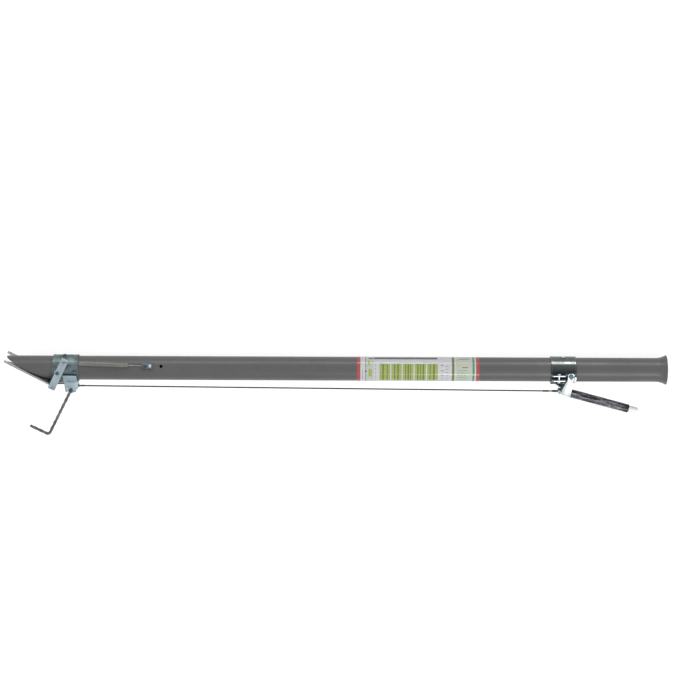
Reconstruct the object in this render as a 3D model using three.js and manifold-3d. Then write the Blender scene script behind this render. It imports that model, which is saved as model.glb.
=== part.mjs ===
// A seedling planting tube: a thin steel tube with a beak at its lower end. A seedling dropped in
// at the flared mouth slides down the tube. The foot bar opens the beak's hinged jaw, a long
// spring closes it, and a hand trigger near the mouth draws a wire that frees the latch.
// Millimetres. x runs along the tube from the beak's tips, y points away from the foot bar,
// z points to the near side. The tool lies on its side, so every hinge axis stands along z.
import * as THREE from 'three';
import { mergeVertices } from 'three/addons/utils/BufferGeometryUtils.js';
import Module from 'manifold-3d';

const wasm = await Module();
wasm.setup();

// ---- driving dimensions ----
const gap = 0.3; // clearance between touching pieces
const degree = Math.PI / 180;
const near = 1;
const far = -1;

const tubeLength = 1042.7; // beak tips to mouth
const tubeRadius = 19;
const tubeWall = 1.5;
const flareLength = 18.7;
const flareRise = 4.8; // how much the mouth's rim stands out
const tubeSides = 40;

const cutTip = 1; // the beak's crown
const cutHeel = 78.5; // where the slanted cut leaves the tube
const spareHole = { x: 245.5, radius: 2.75, angle: 30 * degree };

const bandWidth = 40; // both collars
const bandThickness = 1.6;
const bandInner = tubeRadius + gap;
const bandOuter = bandInner + bandThickness;
const lowerBandStart = 74.3;
const mouthToBand = 183.1; // from the mouth down to the upper collar
const upperBandStart = tubeLength - mouthToBand;

const jawPivot = { x: lowerBandStart + 8.2, y: 0 };
const pivotRadius = 2.5;
const plateThickness = 2.6; // moving jaw
const plateDrop = tubeRadius + 1; // height of the plate's inner face above the axis at the tips
const plateHeel = -tubeRadius - 1; // and at its rear edge
const plateRear = jawPivot.x - 11;
const plateSlope = Math.atan2(plateDrop - plateHeel, plateRear);
const plateHalfWidth = bandOuter + 0.9;
const toothLength = 9.5;
const notchDepth = 4; // between the teeth, beyond their roots
const flangeLength = 5;

const armThickness = 3;
const armWidth = 11.5;
const armTop = { x: jawPivot.x + 13.7, y: tubeRadius + 4.4 };
const armFoot = { x: jawPivot.x - 10.9, y: -tubeRadius - 8 };
const farArmTop = 7; // the far arm carries no spring, so it ends just above its pivot
const springHole = { x: armTop.x - 3, y: armTop.y - 4.8, radius: 2 };

const linkPinRadius = 2;
const outerLinkPin = { x: armFoot.x + 1.9, y: armFoot.y + 1.5 }; // on the jaw's arms
const strapInner = 3.4; // near face of each strap, from the middle
const strapThickness = 1.6;
const strapEnd = 3.2;
const strapWaist = 1.3; // half the height of each strap between its eyes

const footPivot = { x: outerLinkPin.x + 27, y: outerLinkPin.y - 10.4 };
const footPivotRadius = 2;
const hubRadius = 5.6;
const forkReach = 14.4; // from the foot pivot to the fork's tips
const forkPinReach = 11.9; // from the foot pivot to the link's inner pin
const forkLean = 111.2 * degree;
const forkPinRadius = 1.5;
const forkSlot = 4;
const forkWidth = 7.8;
const hubHalf = 2.5;

const barRadius = 2.3;
const barCorner = { x: footPivot.x - 39.7, y: footPivot.y - 80.1 };
const barToe = { x: barCorner.x - 29.4, y: barCorner.y + 15.4 };
const barBend = 5;
// a point that the bar's long part points back to
const barLine = { x: footPivot.x + 2.65, y: footPivot.y + 4.6 };

const cheekInner = 7.2;
const cheekThickness = 2;
const bracketStart = footPivot.x - 9.7;
const bracketEnd = footPivot.x + 11.5;
const bracketFoot = footPivot.y - 2.6;
const lipHeight = -5; // the saddle's upper edge
const lipReach = 1.6;

const wireRadius = 0.9;
const wireLow = { x: bracketEnd + 5, y: footPivot.y + 5 };
const wirePinRadius = 1.5;
const eyeHalf = 1.3; // half the thickness of the eye on the wire's upper end
const latchRadius = 2;
const latchNose = bracketEnd - 3.1;

const springRadius = 3.5;
const springWire = 0.8;
const anchorStart = 215;
const coilStart = springHole.x + 24.8;
const coilEnd = anchorStart - 21;
const anchorLength = 17;
const anchorWidth = 11;
const anchorAngle = 30 * degree;

const labelLength = 193;
const labelToBand = 112.6; // from the label up to the upper collar
const labelStart = upperBandStart - labelToBand - labelLength;
const labelThickness = 0.3;

const triggerPivot = { x: upperBandStart + 31.6, y: -3 };
const triggerPlate = 2;
const triggerClear = 0.4; // between the upper collar and the trigger's side plates
const triggerTravel = 10 * degree;
const gripStart = { x: triggerPivot.x + 1.1, y: -bandOuter - 19.4 };
const gripSlope = -15.7 * degree;
const gripLength = 97.8;
const gripRadius = 6.9;
const capLength = 15.5;
const capRadius = 5.5;
const coreRadius = 3.4;
const tailStart = triggerPivot.x - 17.7;
const tailHalfHeight = 2;
const tailHalfWidth = 6;

// ---- materials ----
function finish(color, roughness, metalness) {
  return new THREE.MeshStandardMaterial({ color, roughness, metalness });
}
const greySteel = () => finish(0x616263, 0.45, 0.6);
const zinc = () => finish(0xa8b6bd, 0.35, 0.9);
const brightZinc = () => finish(0xd5dcdf, 0.25, 0.95);
const darkSteel = () => finish(0x4b4d50, 0.5, 0.8);
const blackRubber = () => finish(0x1b1b1f, 0.4, 0);
const whitePlastic = () => finish(0xf2f2ef, 0.4, 0);
const paper = () => finish(0xe8e8e4, 0.5, 0);

// ---- solids and booleans ----
function toSolid(geometry) {
  const bare = geometry.clone();
  bare.deleteAttribute('normal');
  bare.deleteAttribute('uv');
  const merged = mergeVertices(bare, 1e-4);
  const corners = merged.index.array;
  const kept = [];
  for (let i = 0; i < corners.length; i += 3) {
    const [a, b, c] = [corners[i], corners[i + 1], corners[i + 2]];
    if (a !== b && b !== c && c !== a) kept.push(a, b, c);
  }
  return new wasm.Manifold(new wasm.Mesh({
    numProp: 3,
    vertProperties: new Float32Array(merged.attributes.position.array),
    triVerts: new Uint32Array(kept),
  }));
}

function toGeometry(solid) {
  const mesh = solid.getMesh();
  const geometry = new THREE.BufferGeometry();
  geometry.setAttribute('position', new THREE.BufferAttribute(mesh.vertProperties, 3));
  geometry.setIndex(new THREE.BufferAttribute(mesh.triVerts, 1));
  geometry.computeVertexNormals();
  return geometry;
}

function cut(body, ...tools) {
  return toGeometry(tools.reduce((solid, tool) => solid.subtract(toSolid(tool)), toSolid(body)));
}

function join(body, ...others) {
  return toGeometry(others.reduce((solid, other) => solid.add(toSolid(other)), toSolid(body)));
}

function overlapOf(body, other) {
  return toGeometry(toSolid(body).intersect(toSolid(other)));
}

// ---- shapes ----
// A solid turned about the x axis from [x, radius] points.
function turnedX(profile, sides) {
  const points = profile.map(([x, radius]) => new THREE.Vector2(radius, x));
  return new THREE.LatheGeometry(points, sides).rotateZ(-Math.PI / 2);
}

// A ring between two radii.
function ringX(x0, x1, inner, outer, sides) {
  return turnedX([[x0, inner], [x0, outer], [x1, outer], [x1, inner], [x0, inner]], sides);
}

function rodZ(x, y, z0, z1, radius, sides = 16) {
  const rod = new THREE.CylinderGeometry(radius, radius, Math.abs(z1 - z0), sides);
  return rod.rotateX(Math.PI / 2).translate(x, y, (z0 + z1) / 2);
}

function block(x0, x1, y0, y1, z0, z1) {
  const box = new THREE.BoxGeometry(x1 - x0, y1 - y0, z1 - z0);
  return box.translate((x0 + x1) / 2, (y0 + y1) / 2, (z0 + z1) / 2);
}

// A flat plate in the xy plane from an outline, between two heights.
function plate(outline, z0, z1) {
  const shape = new THREE.Shape(outline.map(([x, y]) => new THREE.Vector2(x, y)));
  const body = new THREE.ExtrudeGeometry(shape, { depth: z1 - z0, bevelEnabled: false });
  return body.translate(0, 0, z0);
}

// A strip of even width with round ends about two centres.
function strap(from, to, radius, z0, z1, steps = 6) {
  const heading = Math.atan2(to.y - from.y, to.x - from.x);
  const outline = [];
  for (const [centre, start] of [[to, heading - Math.PI / 2], [from, heading + Math.PI / 2]]) {
    for (let i = 0; i <= steps; i += 1) {
      const angle = start + (Math.PI * i) / steps;
      outline.push([centre.x + radius * Math.cos(angle), centre.y + radius * Math.sin(angle)]);
    }
  }
  return plate(outline, z0, z1);
}

// Height of the grip's axis at a place along the tool.
function onGrip(x) {
  return gripStart.y + (x - gripStart.x) * Math.tan(gripSlope);
}

// Heights between which a piece on one side lies, lowest first.
function span(side, inner, outer) {
  return side === near ? [inner, outer] : [-outer, -inner];
}

// A fastener standing out from the middle: a shank and a round or six-sided head.
function fastenerZ(at, side, shankStart, seat, headHeight, shankRadius, headRadius, sides = 6) {
  const [s0, s1] = span(side, shankStart, seat + headHeight / 2);
  const [h0, h1] = span(side, seat, seat + headHeight);
  return join(rodZ(at.x, at.y, s0, s1, shankRadius, 12), rodZ(at.x, at.y, h0, h1, headRadius, sides));
}

// ---- the tree of named pieces ----
const tool = new THREE.Group();
function add(name, geometry, material) {
  const mesh = new THREE.Mesh(geometry, material);
  mesh.name = name;
  tool.add(mesh);
  return mesh;
}

const boreRadius = tubeRadius - tubeWall;
const shankEnd = boreRadius + 0.15; // fasteners stop inside the wall, so the bore stays clear

// ---- holes that fasteners need through the tube and its collars ----
const lowerBandEnd = lowerBandStart + bandWidth;
const upperBandEnd = upperBandStart + bandWidth;
const bandScrewRadius = 1.6;
const bandBolt = { x: lowerBandEnd - 5.5, y: 1, radius: 2 };
const lowerScrewX = lowerBandStart + 18.5;
const upperScrewX = upperBandStart + bandWidth / 2;

function crossHole(at, radius) {
  return rodZ(at.x, at.y, -2 * tubeRadius, 2 * tubeRadius, radius + gap, 12);
}

function topHole(x, radius) {
  const hole = new THREE.CylinderGeometry(radius + gap, radius + gap, 30, 12);
  return hole.translate(x, tubeRadius + 10, 0);
}

// ---- tube with its slanted beak end and flared mouth ----
function makeTube() {
  const flareStart = tubeLength - flareLength;
  const outer = [[cutTip, tubeRadius]];
  const steps = 7;
  for (let i = 0; i <= steps; i += 1) {
    const share = i / steps;
    outer.push([flareStart + flareLength * share, tubeRadius + flareRise * share ** 2.4]);
  }
  const inner = outer.map(([x, radius]) => [x, radius - tubeWall]).reverse();
  const pipe = turnedX([...outer, ...inner, outer[0]], tubeSides);

  const rise = (2 * tubeRadius) / (cutHeel - cutTip);
  const reach = 20;
  const low = -tubeRadius - 2 * reach;
  const below = plate([
    [cutTip - reach, tubeRadius + reach * rise],
    [cutTip - reach, low],
    [cutHeel + reach, low],
    [cutHeel + reach, -tubeRadius - reach * rise],
  ], -tubeRadius - 10, tubeRadius + 10);

  const spare = new THREE.CylinderGeometry(spareHole.radius, spareHole.radius, 30, 14);
  spare.rotateX(Math.PI / 2).translate(0, 0, tubeRadius);
  spare.rotateX(-spareHole.angle).translate(spareHole.x, 0, 0);
  const holes = [
    crossHole(jawPivot, pivotRadius),
    crossHole(bandBolt, bandBolt.radius),
    crossHole(triggerPivot, pivotRadius),
    topHole(lowerScrewX, bandScrewRadius),
    topHole(upperScrewX, bandScrewRadius),
    spare,
    ...anchorRivetHoles(),
  ];
  return cut(pipe, below, ...holes);
}

// ---- spring anchor on the tube ----
const anchorInner = tubeRadius + gap;
const anchorOuter = anchorInner + 1.8;
const rivetRadius = 1.5;
const rivetXs = [anchorStart + 6.5, anchorStart + 13];

function turnToAnchor(geometry) {
  return geometry.rotateX(-anchorAngle);
}

function anchorRivetHoles() {
  return rivetXs.map((x) => turnToAnchor(rodZ(x, 0, boreRadius - 4, tubeRadius + 5, rivetRadius + gap, 10)));
}

function makeAnchor() {
  const sector = overlapOf(
    ringX(anchorStart, anchorStart + anchorLength, anchorInner, anchorOuter, tubeSides),
    block(anchorStart - 1, anchorStart + anchorLength + 1, -anchorWidth / 2, anchorWidth / 2,
      anchorInner - 9, anchorOuter + 1),
  );
  const lug = block(anchorStart, anchorStart + 2, -3, 3, anchorOuter - 0.8, anchorOuter + 5.5);
  const eye = new THREE.CylinderGeometry(1.2, 1.2, 10, 10);
  eye.rotateZ(Math.PI / 2).translate(anchorStart, 0, anchorOuter + 2.6);
  const holes = rivetXs.map((x) => rodZ(x, 0, 15, 30, rivetRadius + gap, 10));
  return turnToAnchor(cut(join(sector, lug), eye, ...holes));
}

function makeAnchorRivet(x) {
  const shank = rodZ(x, 0, shankEnd, anchorOuter + 0.8, rivetRadius, 10);
  const dome = turnedDome(2.6, 1.4).translate(x, 0, anchorOuter + 0.1);
  return turnToAnchor(join(shank, dome));
}

// A shallow dome standing on z = 0.
function turnedDome(radius, height, sides = 12) {
  const profile = [new THREE.Vector2(0, 0), new THREE.Vector2(radius, 0)];
  for (let i = 1; i <= 4; i += 1) {
    const angle = (i / 4) * (Math.PI / 2);
    profile.push(new THREE.Vector2(radius * Math.cos(angle), height * Math.sin(angle)));
  }
  return new THREE.LatheGeometry(profile, sides).rotateX(Math.PI / 2);
}

// ---- lower collar ----
function makeLowerCollar() {
  const band = ringX(lowerBandStart, lowerBandEnd, bandInner, bandOuter, tubeSides);
  return cut(
    band,
    crossHole(jawPivot, pivotRadius),
    crossHole(bandBolt, bandBolt.radius),
    topHole(lowerScrewX, bandScrewRadius),
  );
}

function makeTopScrew(x) {
  const shank = new THREE.CylinderGeometry(bandScrewRadius, bandScrewRadius, bandOuter - shankEnd + 0.6, 12);
  shank.translate(0, (bandOuter + shankEnd + 0.6) / 2, 0);
  const dome = turnedDome(3, 1.9).rotateX(-Math.PI / 2).translate(0, bandOuter + 0.1, 0);
  return join(shank, dome).translate(x, 0, 0);
}

// ---- moving jaw ----
const armInner = plateHalfWidth + 0.4;
const armOuter = armInner + armThickness;
const armHeading = Math.atan2(armFoot.y - armTop.y, armFoot.x - armTop.x);

function onPlate(x) {
  return plateDrop - x * Math.tan(plateSlope);
}

// The plate is drawn flat, its inner face at height 0, then turned down to its slope.
function makeMovingJaw() {
  const length = plateRear / Math.cos(plateSlope);
  const w = plateHalfWidth;
  const tip = w - 1.6;
  const root = w - 7.5;
  const rootX = toothLength;
  const notchX = toothLength + notchDepth;
  const half = [[length, w], [rootX, w], [0, tip + 0.7], [0, tip - 0.7], [rootX, root], [notchX, root - 3]];
  const outline = [...half, ...half.map(([x, y]) => [x, -y]).reverse()];
  const sheet = plate(outline, -plateThickness, 0).rotateX(-Math.PI / 2);
  const bevel = plate([[-8, -9], [-8, -0.8], [0, -0.8], [rootX, -9]], -w - 1, w + 1);
  const turned = cut(sheet, bevel).rotateZ(-plateSlope).translate(0, plateDrop, 0);
  const bend = { x: plateRear - 0.3, y: onPlate(plateRear - 0.3) - plateThickness * 0.45 };
  const lean = { x: Math.cos(armHeading), y: Math.sin(armHeading) };
  const ahead = { x: -lean.y, y: lean.x };
  const corner = (along, across) => [
    bend.x + lean.x * along - ahead.x * across,
    bend.y + lean.y * along - ahead.y * across,
  ];
  const t = plateThickness;
  const flange = plate([
    corner(-0.6, 0), corner(flangeLength, 0), corner(flangeLength, t), corner(-0.6, t),
  ], -w, w);
  return join(turned, flange);
}

function makeArm(side) {
  const [z0, z1] = span(side, armInner, armOuter);
  const along = { x: Math.cos(armHeading), y: Math.sin(armHeading) };
  const round = 1.6;
  const half = armWidth / 2;
  const length = Math.hypot(armFoot.x - armTop.x, armFoot.y - armTop.y);
  const start = side === near ? 0 : (armTop.y - farArmTop) / -Math.sin(armHeading);
  const corners = [
    [start, -half, 1, 1], [length, -half, -1, 1], [length, half, -1, -1], [start, half, 1, -1],
  ];
  const outline = [];
  corners.forEach(([s, w, ds, dw], i) => {
    const centre = [s + ds * round, w + dw * round];
    for (let k = 0; k <= 3; k += 1) {
      const angle = Math.PI + (Math.PI / 2) * i + (Math.PI / 6) * k;
      outline.push([centre[0] + round * Math.cos(angle), centre[1] + round * Math.sin(angle)]);
    }
  });
  const placed = outline.map(([s, w]) => [
    armTop.x + along.x * s - along.y * w,
    armTop.y + along.y * s + along.x * w,
  ]);
  return cut(
    plate(placed, z0, z1),
    crossHole(jawPivot, pivotRadius),
    crossHole(outerLinkPin, linkPinRadius),
    rodZ(springHole.x, springHole.y, z0 - 1, z1 + 1, springHole.radius, 12),
  );
}

// ---- link between the arms and the foot bar's fork ----
const forkPin = {
  x: footPivot.x + forkPinReach * Math.cos(forkLean),
  y: footPivot.y + forkPinReach * Math.sin(forkLean),
};

function makeStrap(side) {
  const [z0, z1] = span(side, strapInner, strapInner + strapThickness);
  return cut(
    join(
      strap(outerLinkPin, forkPin, strapWaist, z0, z1),
      rodZ(outerLinkPin.x, outerLinkPin.y, z0, z1, strapEnd, 24),
      rodZ(forkPin.x, forkPin.y, z0, z1, strapEnd, 24),
    ),
    rodZ(outerLinkPin.x, outerLinkPin.y, z0 - 1, z1 + 1, linkPinRadius + gap / 3, 14),
    rodZ(forkPin.x, forkPin.y, z0 - 1, z1 + 1, forkPinRadius + gap / 3, 14),
  );
}

function makeForkPin() {
  const reach = strapInner + strapThickness + 1;
  return rodZ(forkPin.x, forkPin.y, -reach, reach, forkPinRadius, 14);
}

function makeOuterLinkPin() {
  const reach = armOuter + 1.2;
  const spacer = armInner - gap;
  const middle = strapInner + strapThickness + gap;
  const pin = rodZ(outerLinkPin.x, outerLinkPin.y, -reach, reach, linkPinRadius, 14);
  const sleeves = [near, far].map((side) => {
    const [z0, z1] = span(side, middle, spacer);
    return rodZ(outerLinkPin.x, outerLinkPin.y, z0, z1, linkPinRadius + 1, 14);
  });
  return join(pin, ...sleeves);
}

// ---- foot bar and its hub ----
const barHeading = Math.atan2(barCorner.y - barLine.y, barCorner.x - barLine.x);

function barRoot() {
  const back = { x: barLine.x - footPivot.x, y: barLine.y - footPivot.y };
  const along = { x: Math.cos(barHeading), y: Math.sin(barHeading) };
  const foot = -(back.x * along.x + back.y * along.y);
  const reach = foot + hubRadius + gap;
  return { x: barLine.x + along.x * reach, y: barLine.y + along.y * reach };
}

function makeHub() {
  const barrel = rodZ(footPivot.x, footPivot.y, -cheekInner + gap, cheekInner - gap, hubRadius, 20);
  const half = forkWidth / 2;
  const root = hubRadius * 0.4;
  const tine = [[root, -half], [forkReach - 1.2, -half], [forkReach, -half + 1.2],
    [forkReach, half - 1.2], [forkReach - 1.2, half], [root, half]];
  const slotEnd = forkPinReach - 2.9;
  const slot = [[slotEnd, -forkSlot / 2], [forkReach + 2, -forkSlot / 2], [forkReach + 2, forkSlot / 2],
    [slotEnd, forkSlot / 2]];
  const fork = cut(plate(tine, -hubHalf, hubHalf), plate(slot, -9, 9));
  fork.rotateZ(forkLean).translate(footPivot.x, footPivot.y, 0);
  return cut(join(barrel, fork), rodZ(footPivot.x, footPivot.y, -20, 20, footPivotRadius + gap / 2, 16));
}

// The bar's centre line: straight, a round bend, straight.
function makeFootBar() {
  const root = barRoot();
  const vector = (p) => new THREE.Vector3(p.x, p.y, 0);
  const a = vector(root);
  const b = vector(barCorner);
  const c = vector(barToe);
  const into = b.clone().add(a.clone().sub(b).setLength(barBend));
  const out = b.clone().add(c.clone().sub(b).setLength(barBend));
  const path = new THREE.CurvePath();
  path.add(new THREE.LineCurve3(a, into));
  path.add(new THREE.QuadraticBezierCurve3(into, b, out));
  path.add(new THREE.LineCurve3(out, c));
  const section = new THREE.Shape();
  section.absarc(0, 0, barRadius, 0, Math.PI * 2, false);
  return new THREE.ExtrudeGeometry(section, { extrudePath: path, steps: 40, curveSegments: 5 });
}

// ---- bracket under the lower collar ----
function makePedalBracket() {
  const inner = bandOuter + gap;
  const outer = inner + cheekThickness;
  const cheekOuter = cheekInner + cheekThickness;
  const saddle = overlapOf(
    ringX(bracketStart, bracketEnd, inner, outer, tubeSides),
    block(bracketStart - 1, bracketEnd + 1, -outer - 1, lipHeight, -outer - 1, outer + 1),
  );
  const middle = block(bracketStart - 1, bracketEnd + 1, -outer - 1, 0, -cheekInner, cheekInner);
  const cheeks = [near, far].map((side) => {
    const [z0, z1] = span(side, cheekInner, cheekOuter);
    const top = -Math.sqrt(inner ** 2 - cheekInner ** 2) - 0.35;
    return block(bracketStart, bracketEnd, bracketFoot, top, z0, z1);
  });
  const lips = [near, far].map((side) => {
    const edge = Math.sqrt(inner ** 2 - lipHeight ** 2) + 0.4;
    const [z0, z1] = span(side, edge, edge + cheekThickness + lipReach);
    return block(bracketStart, bracketEnd, lipHeight - 1, lipHeight + 1, z0, z1);
  });
  const webTop = -bandOuter - 1.5;
  const webHalf = cheekInner + 0.5;
  const web = block(bracketEnd - 1.8, bracketEnd, footPivot.y + 0.9, webTop, -webHalf, webHalf);
  const legGap = footPivot.x - 4.1;
  const legTop = footPivot.y + 7.4;
  const under = bracketFoot - 10;
  const legNotch = plate([[legGap - 1.4, under], [legGap - 1.4, bracketFoot], [legGap - 2.2, legTop],
    [legGap + 1, legTop], [legGap, legTop - 4.5], [legGap, under]], -20, 20);
  const backCorner = plate([[bracketEnd - 3.2, under], [bracketEnd - 3.2, bracketFoot + 2.5],
    [bracketEnd + 1, bracketFoot + 7.5], [bracketEnd + 1, under]], -20, 20);
  const frontCorner = plate([[bracketStart - 1, under], [bracketStart + 1.2, under],
    [bracketStart + 1.2, bracketFoot], [bracketStart, legTop + 1.5],
    [bracketStart - 1, legTop + 4.5]], -20, 20);
  const wireHole = new THREE.CylinderGeometry(latchRadius + gap, latchRadius + gap, 20, 14);
  wireHole.rotateZ(Math.PI / 2).translate(bracketEnd, wireLow.y, 0);
  const body = join(cut(saddle, middle), ...cheeks, ...lips, web);
  return cut(
    body,
    legNotch,
    backCorner,
    frontCorner,
    wireHole,
    rodZ(footPivot.x, footPivot.y, -20, 20, footPivotRadius + gap / 2, 16),
  );
}

function makeFootPivotBolt() {
  const reach = cheekInner + cheekThickness;
  const shank = rodZ(footPivot.x, footPivot.y, -reach - 3.4, reach + 1, footPivotRadius, 16);
  return join(shank, rodZ(footPivot.x, footPivot.y, reach + gap, reach + 2.8, 3.4, 6));
}

function makeFootPivotNut() {
  const reach = cheekInner + cheekThickness;
  const nut = rodZ(footPivot.x, footPivot.y, -reach - 3, -reach - gap, 3.6, 6);
  return cut(nut, rodZ(footPivot.x, footPivot.y, -20, 0, footPivotRadius + gap / 3, 14));
}

// ---- latch and wire ----
// The pin through the trigger's forked tail sinks as it swings, so the eye's hole is a long one.
const wirePinX = tailStart + 3.5;
const wirePin = { x: wirePinX, y: onGrip(wirePinX) };
const pinArm = { x: wirePin.x - triggerPivot.x, y: wirePin.y - triggerPivot.y };
const pinSink = pinArm.y - (pinArm.x * Math.sin(triggerTravel) + pinArm.y * Math.cos(triggerTravel));
const wireHigh = { x: wirePin.x - 6.5, y: wirePin.y - pinSink / 2 };
const wireHeading = Math.atan2(wireHigh.y - wireLow.y, wireHigh.x - wireLow.x);
const wireLength = Math.hypot(wireHigh.x - wireLow.x, wireHigh.y - wireLow.y);

function alongWire(geometry) {
  return geometry.rotateZ(wireHeading).translate(wireLow.x, wireLow.y, 0);
}

function makeLatchBolt() {
  const start = latchNose - wireLow.x;
  const end = 5;
  const body = turnedX([[start, 0], [start, latchRadius - 0.5], [start + 0.5, latchRadius],
    [end, latchRadius], [end, 0]], 16);
  const socket = turnedX([[-1, 0], [-1, wireRadius + gap / 3], [end + 1, wireRadius + gap / 3],
    [end + 1, 0]], 12);
  return alongWire(cut(body, socket));
}

function makeWire() {
  const straight = turnedX([[0, 0], [0, wireRadius], [wireLength, wireRadius], [wireLength, 0]], 8);
  return alongWire(straight);
}

// An eye pressed on the wire's upper end, round the pin in the trigger's forked tail.
function makeWireEye() {
  const sleeveEnd = wireLength + 1.4;
  const sleeve = alongWire(turnedX([[wireLength - 6, 0], [wireLength - 6, 1.9], [sleeveEnd, 1.9],
    [sleeveEnd, 0]], 14));
  const tongue = alongWire(block(sleeveEnd - 0.8, wireLength + 4.2, -1.5, 1.5, -eyeHalf, eyeHalf));
  const bore = alongWire(turnedX([[wireLength - 9, 0], [wireLength - 9, wireRadius + gap / 3],
    [wireLength + gap, wireRadius + gap / 3], [wireLength + gap, 0]], 12));
  const low = { x: wirePin.x, y: wirePin.y - pinSink };
  const loop = strap(low, wirePin, wirePinRadius + 2, -eyeHalf, eyeHalf);
  const hole = strap(low, wirePin, wirePinRadius + gap + 0.1, -9, 9);
  return cut(join(sleeve, tongue, loop), bore, hole);
}

function makeWirePin() {
  return rodZ(wirePin.x, wirePin.y, -tailHalfWidth - 1, tailHalfWidth + 1, wirePinRadius, 14);
}

// ---- closing spring ----
// Straight from the near arm's hole to the anchor's lug, stood off the tube.
const springFrom = new THREE.Vector3(springHole.x, springHole.y, armOuter + springWire + gap);
const hookRadius = anchorOuter + 2.6;
const springTo = new THREE.Vector3(
  anchorStart + 3,
  hookRadius * Math.sin(anchorAngle),
  hookRadius * Math.cos(anchorAngle),
);

function makeJawSpring() {
  const line = springTo.clone().sub(springFrom);
  const length = line.length();
  const share = (x) => ((x - springFrom.x) / line.x) * length;
  const body = turnedX([[0, 0], [0, springWire], [share(coilStart), springWire],
    [share(coilStart), springRadius], [share(coilEnd), springRadius], [share(coilEnd), springWire],
    [length, springWire], [length, 0]], 12);
  body.applyQuaternion(new THREE.Quaternion().setFromUnitVectors(
    new THREE.Vector3(1, 0, 0),
    line.normalize(),
  ));
  body.translate(springFrom.x, springFrom.y, springFrom.z);
  const hookEnd = springFrom.z + springWire / 2;
  const hook = rodZ(springFrom.x, springFrom.y, armInner + gap, hookEnd, springWire, 12);
  return join(body, hook);
}

// ---- label ----
function makeLabel() {
  const inner = tubeRadius + 0.1;
  const ring = ringX(labelStart, labelStart + labelLength, inner, inner + labelThickness, tubeSides);
  const slit = block(labelStart - 1, labelStart + labelLength + 1, -3, 3, -tubeRadius - 5, -tubeRadius + 5);
  return cut(ring, slit);
}

// ---- upper collar ----
const earInner = bandOuter - 0.6;
const earOuter = bandOuter + 7;
const earStart = upperBandStart + 1.5;
const earEnd = earStart + 21.5;
const earThickness = 1.7;
const earTops = [0.5, -7.5]; // y of each ear's face towards the split's outside
const clampX = earStart + 11;
const clampZ = bandOuter + 3.9;
const clampRadius = 1.5;

function makeUpperCollar() {
  const [upperEar, lowerEar] = earTops;
  const band = ringX(upperBandStart, upperBandEnd, bandInner, bandOuter, tubeSides);
  const split = block(upperBandStart - 1, upperBandEnd + 1, lowerEar, upperEar - earThickness,
    tubeRadius - 9, earOuter);
  const ears = [
    block(earStart, earEnd, upperEar - earThickness, upperEar, earInner, earOuter),
    block(earStart, earEnd, lowerEar - earThickness, lowerEar, earInner - 1.2, earOuter),
  ];
  const clampHole = new THREE.CylinderGeometry(clampRadius + gap, clampRadius + gap, 20, 12);
  clampHole.translate(clampX, -3.5, clampZ);
  const body = join(cut(band, split), ...ears);
  return cut(
    body,
    clampHole,
    crossHole(triggerPivot, pivotRadius),
    topHole(upperScrewX, bandScrewRadius),
  );
}

function rodY(x, z, y0, y1, radius, sides) {
  return new THREE.CylinderGeometry(radius, radius, y1 - y0, sides).translate(x, (y0 + y1) / 2, z);
}

function makeClampBolt() {
  const [upperEar, lowerEar] = earTops;
  const shank = rodY(clampX, clampZ, lowerEar - earThickness - 3.6, upperEar + 1, clampRadius, 12);
  return join(shank, rodY(clampX, clampZ, upperEar + gap, upperEar + 2.4, 2.8, 6));
}

function makeClampNut() {
  const top = earTops[1] - earThickness - gap;
  const nut = rodY(clampX, clampZ, top - 2.6, top, 3, 6);
  return cut(nut, rodY(clampX, clampZ, top - 9, top + 9, clampRadius + gap / 3, 12));
}

// A tongue under the upper collar that the trigger's web rests against.
function makeTriggerStop() {
  const top = -(bandOuter + gap);
  const t = 1.8;
  const rise = 6.2;
  return plate([
    [upperBandStart + 1, top], [upperBandStart + 9, top], [webStart - 1.2, top - rise + 1.2],
    [webStart + 3, top - rise], [webStart + 3, top - rise - t], [webStart - 2, top - rise - t + 0.6],
    [upperBandStart + 8.4, top - t], [upperBandStart + 1, top - t],
  ], -5, 5);
}

// ---- trigger ----
const plateInner = bandOuter + triggerClear;
const plateOuter = plateInner + triggerPlate;
const webStart = triggerPivot.x - 13.7;
const webLength = 13.5;
const webThickness = 2;

// From a frame whose x axis is the grip's axis, with x = 0 at the grip's start.
function alongGrip(geometry) {
  return geometry.rotateZ(gripSlope).translate(gripStart.x, gripStart.y, 0);
}

function makeStirrup() {
  const lift = tailHalfHeight / Math.cos(gripSlope) + gap;
  const under = (x) => onGrip(x) + lift;
  const webEnd = webStart + webLength;
  const web = plate([
    [webStart, under(webStart)], [webEnd, under(webEnd)],
    [webEnd, under(webEnd) + webThickness], [webStart, under(webStart) + webThickness],
  ], -plateOuter, plateOuter);
  const top = triggerPivot.y + 5.2;
  const sides = [near, far].map((side) => {
    const [z0, z1] = span(side, plateInner, plateOuter);
    return plate([
      [webStart, under(webStart)], [webEnd, under(webEnd)], [webEnd + 1, under(webEnd) + 5],
      [triggerPivot.x + 4.8, triggerPivot.y - 2], [triggerPivot.x + 4.8, top - 1.5],
      [triggerPivot.x + 3.3, top], [triggerPivot.x - 3.3, top], [triggerPivot.x - 4.8, top - 1.5],
      [triggerPivot.x - 5.4, triggerPivot.y - 5], [webStart, under(webStart) + 7],
    ], z0, z1);
  });
  const eyeRoom = block(webStart - 1, wirePinX + wirePinRadius + 4.5, gripStart.y - 20,
    triggerPivot.y - 7, -eyeHalf - 0.9, eyeHalf + 0.9);
  return cut(join(web, ...sides), eyeRoom, crossHole(triggerPivot, pivotRadius));
}

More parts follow.
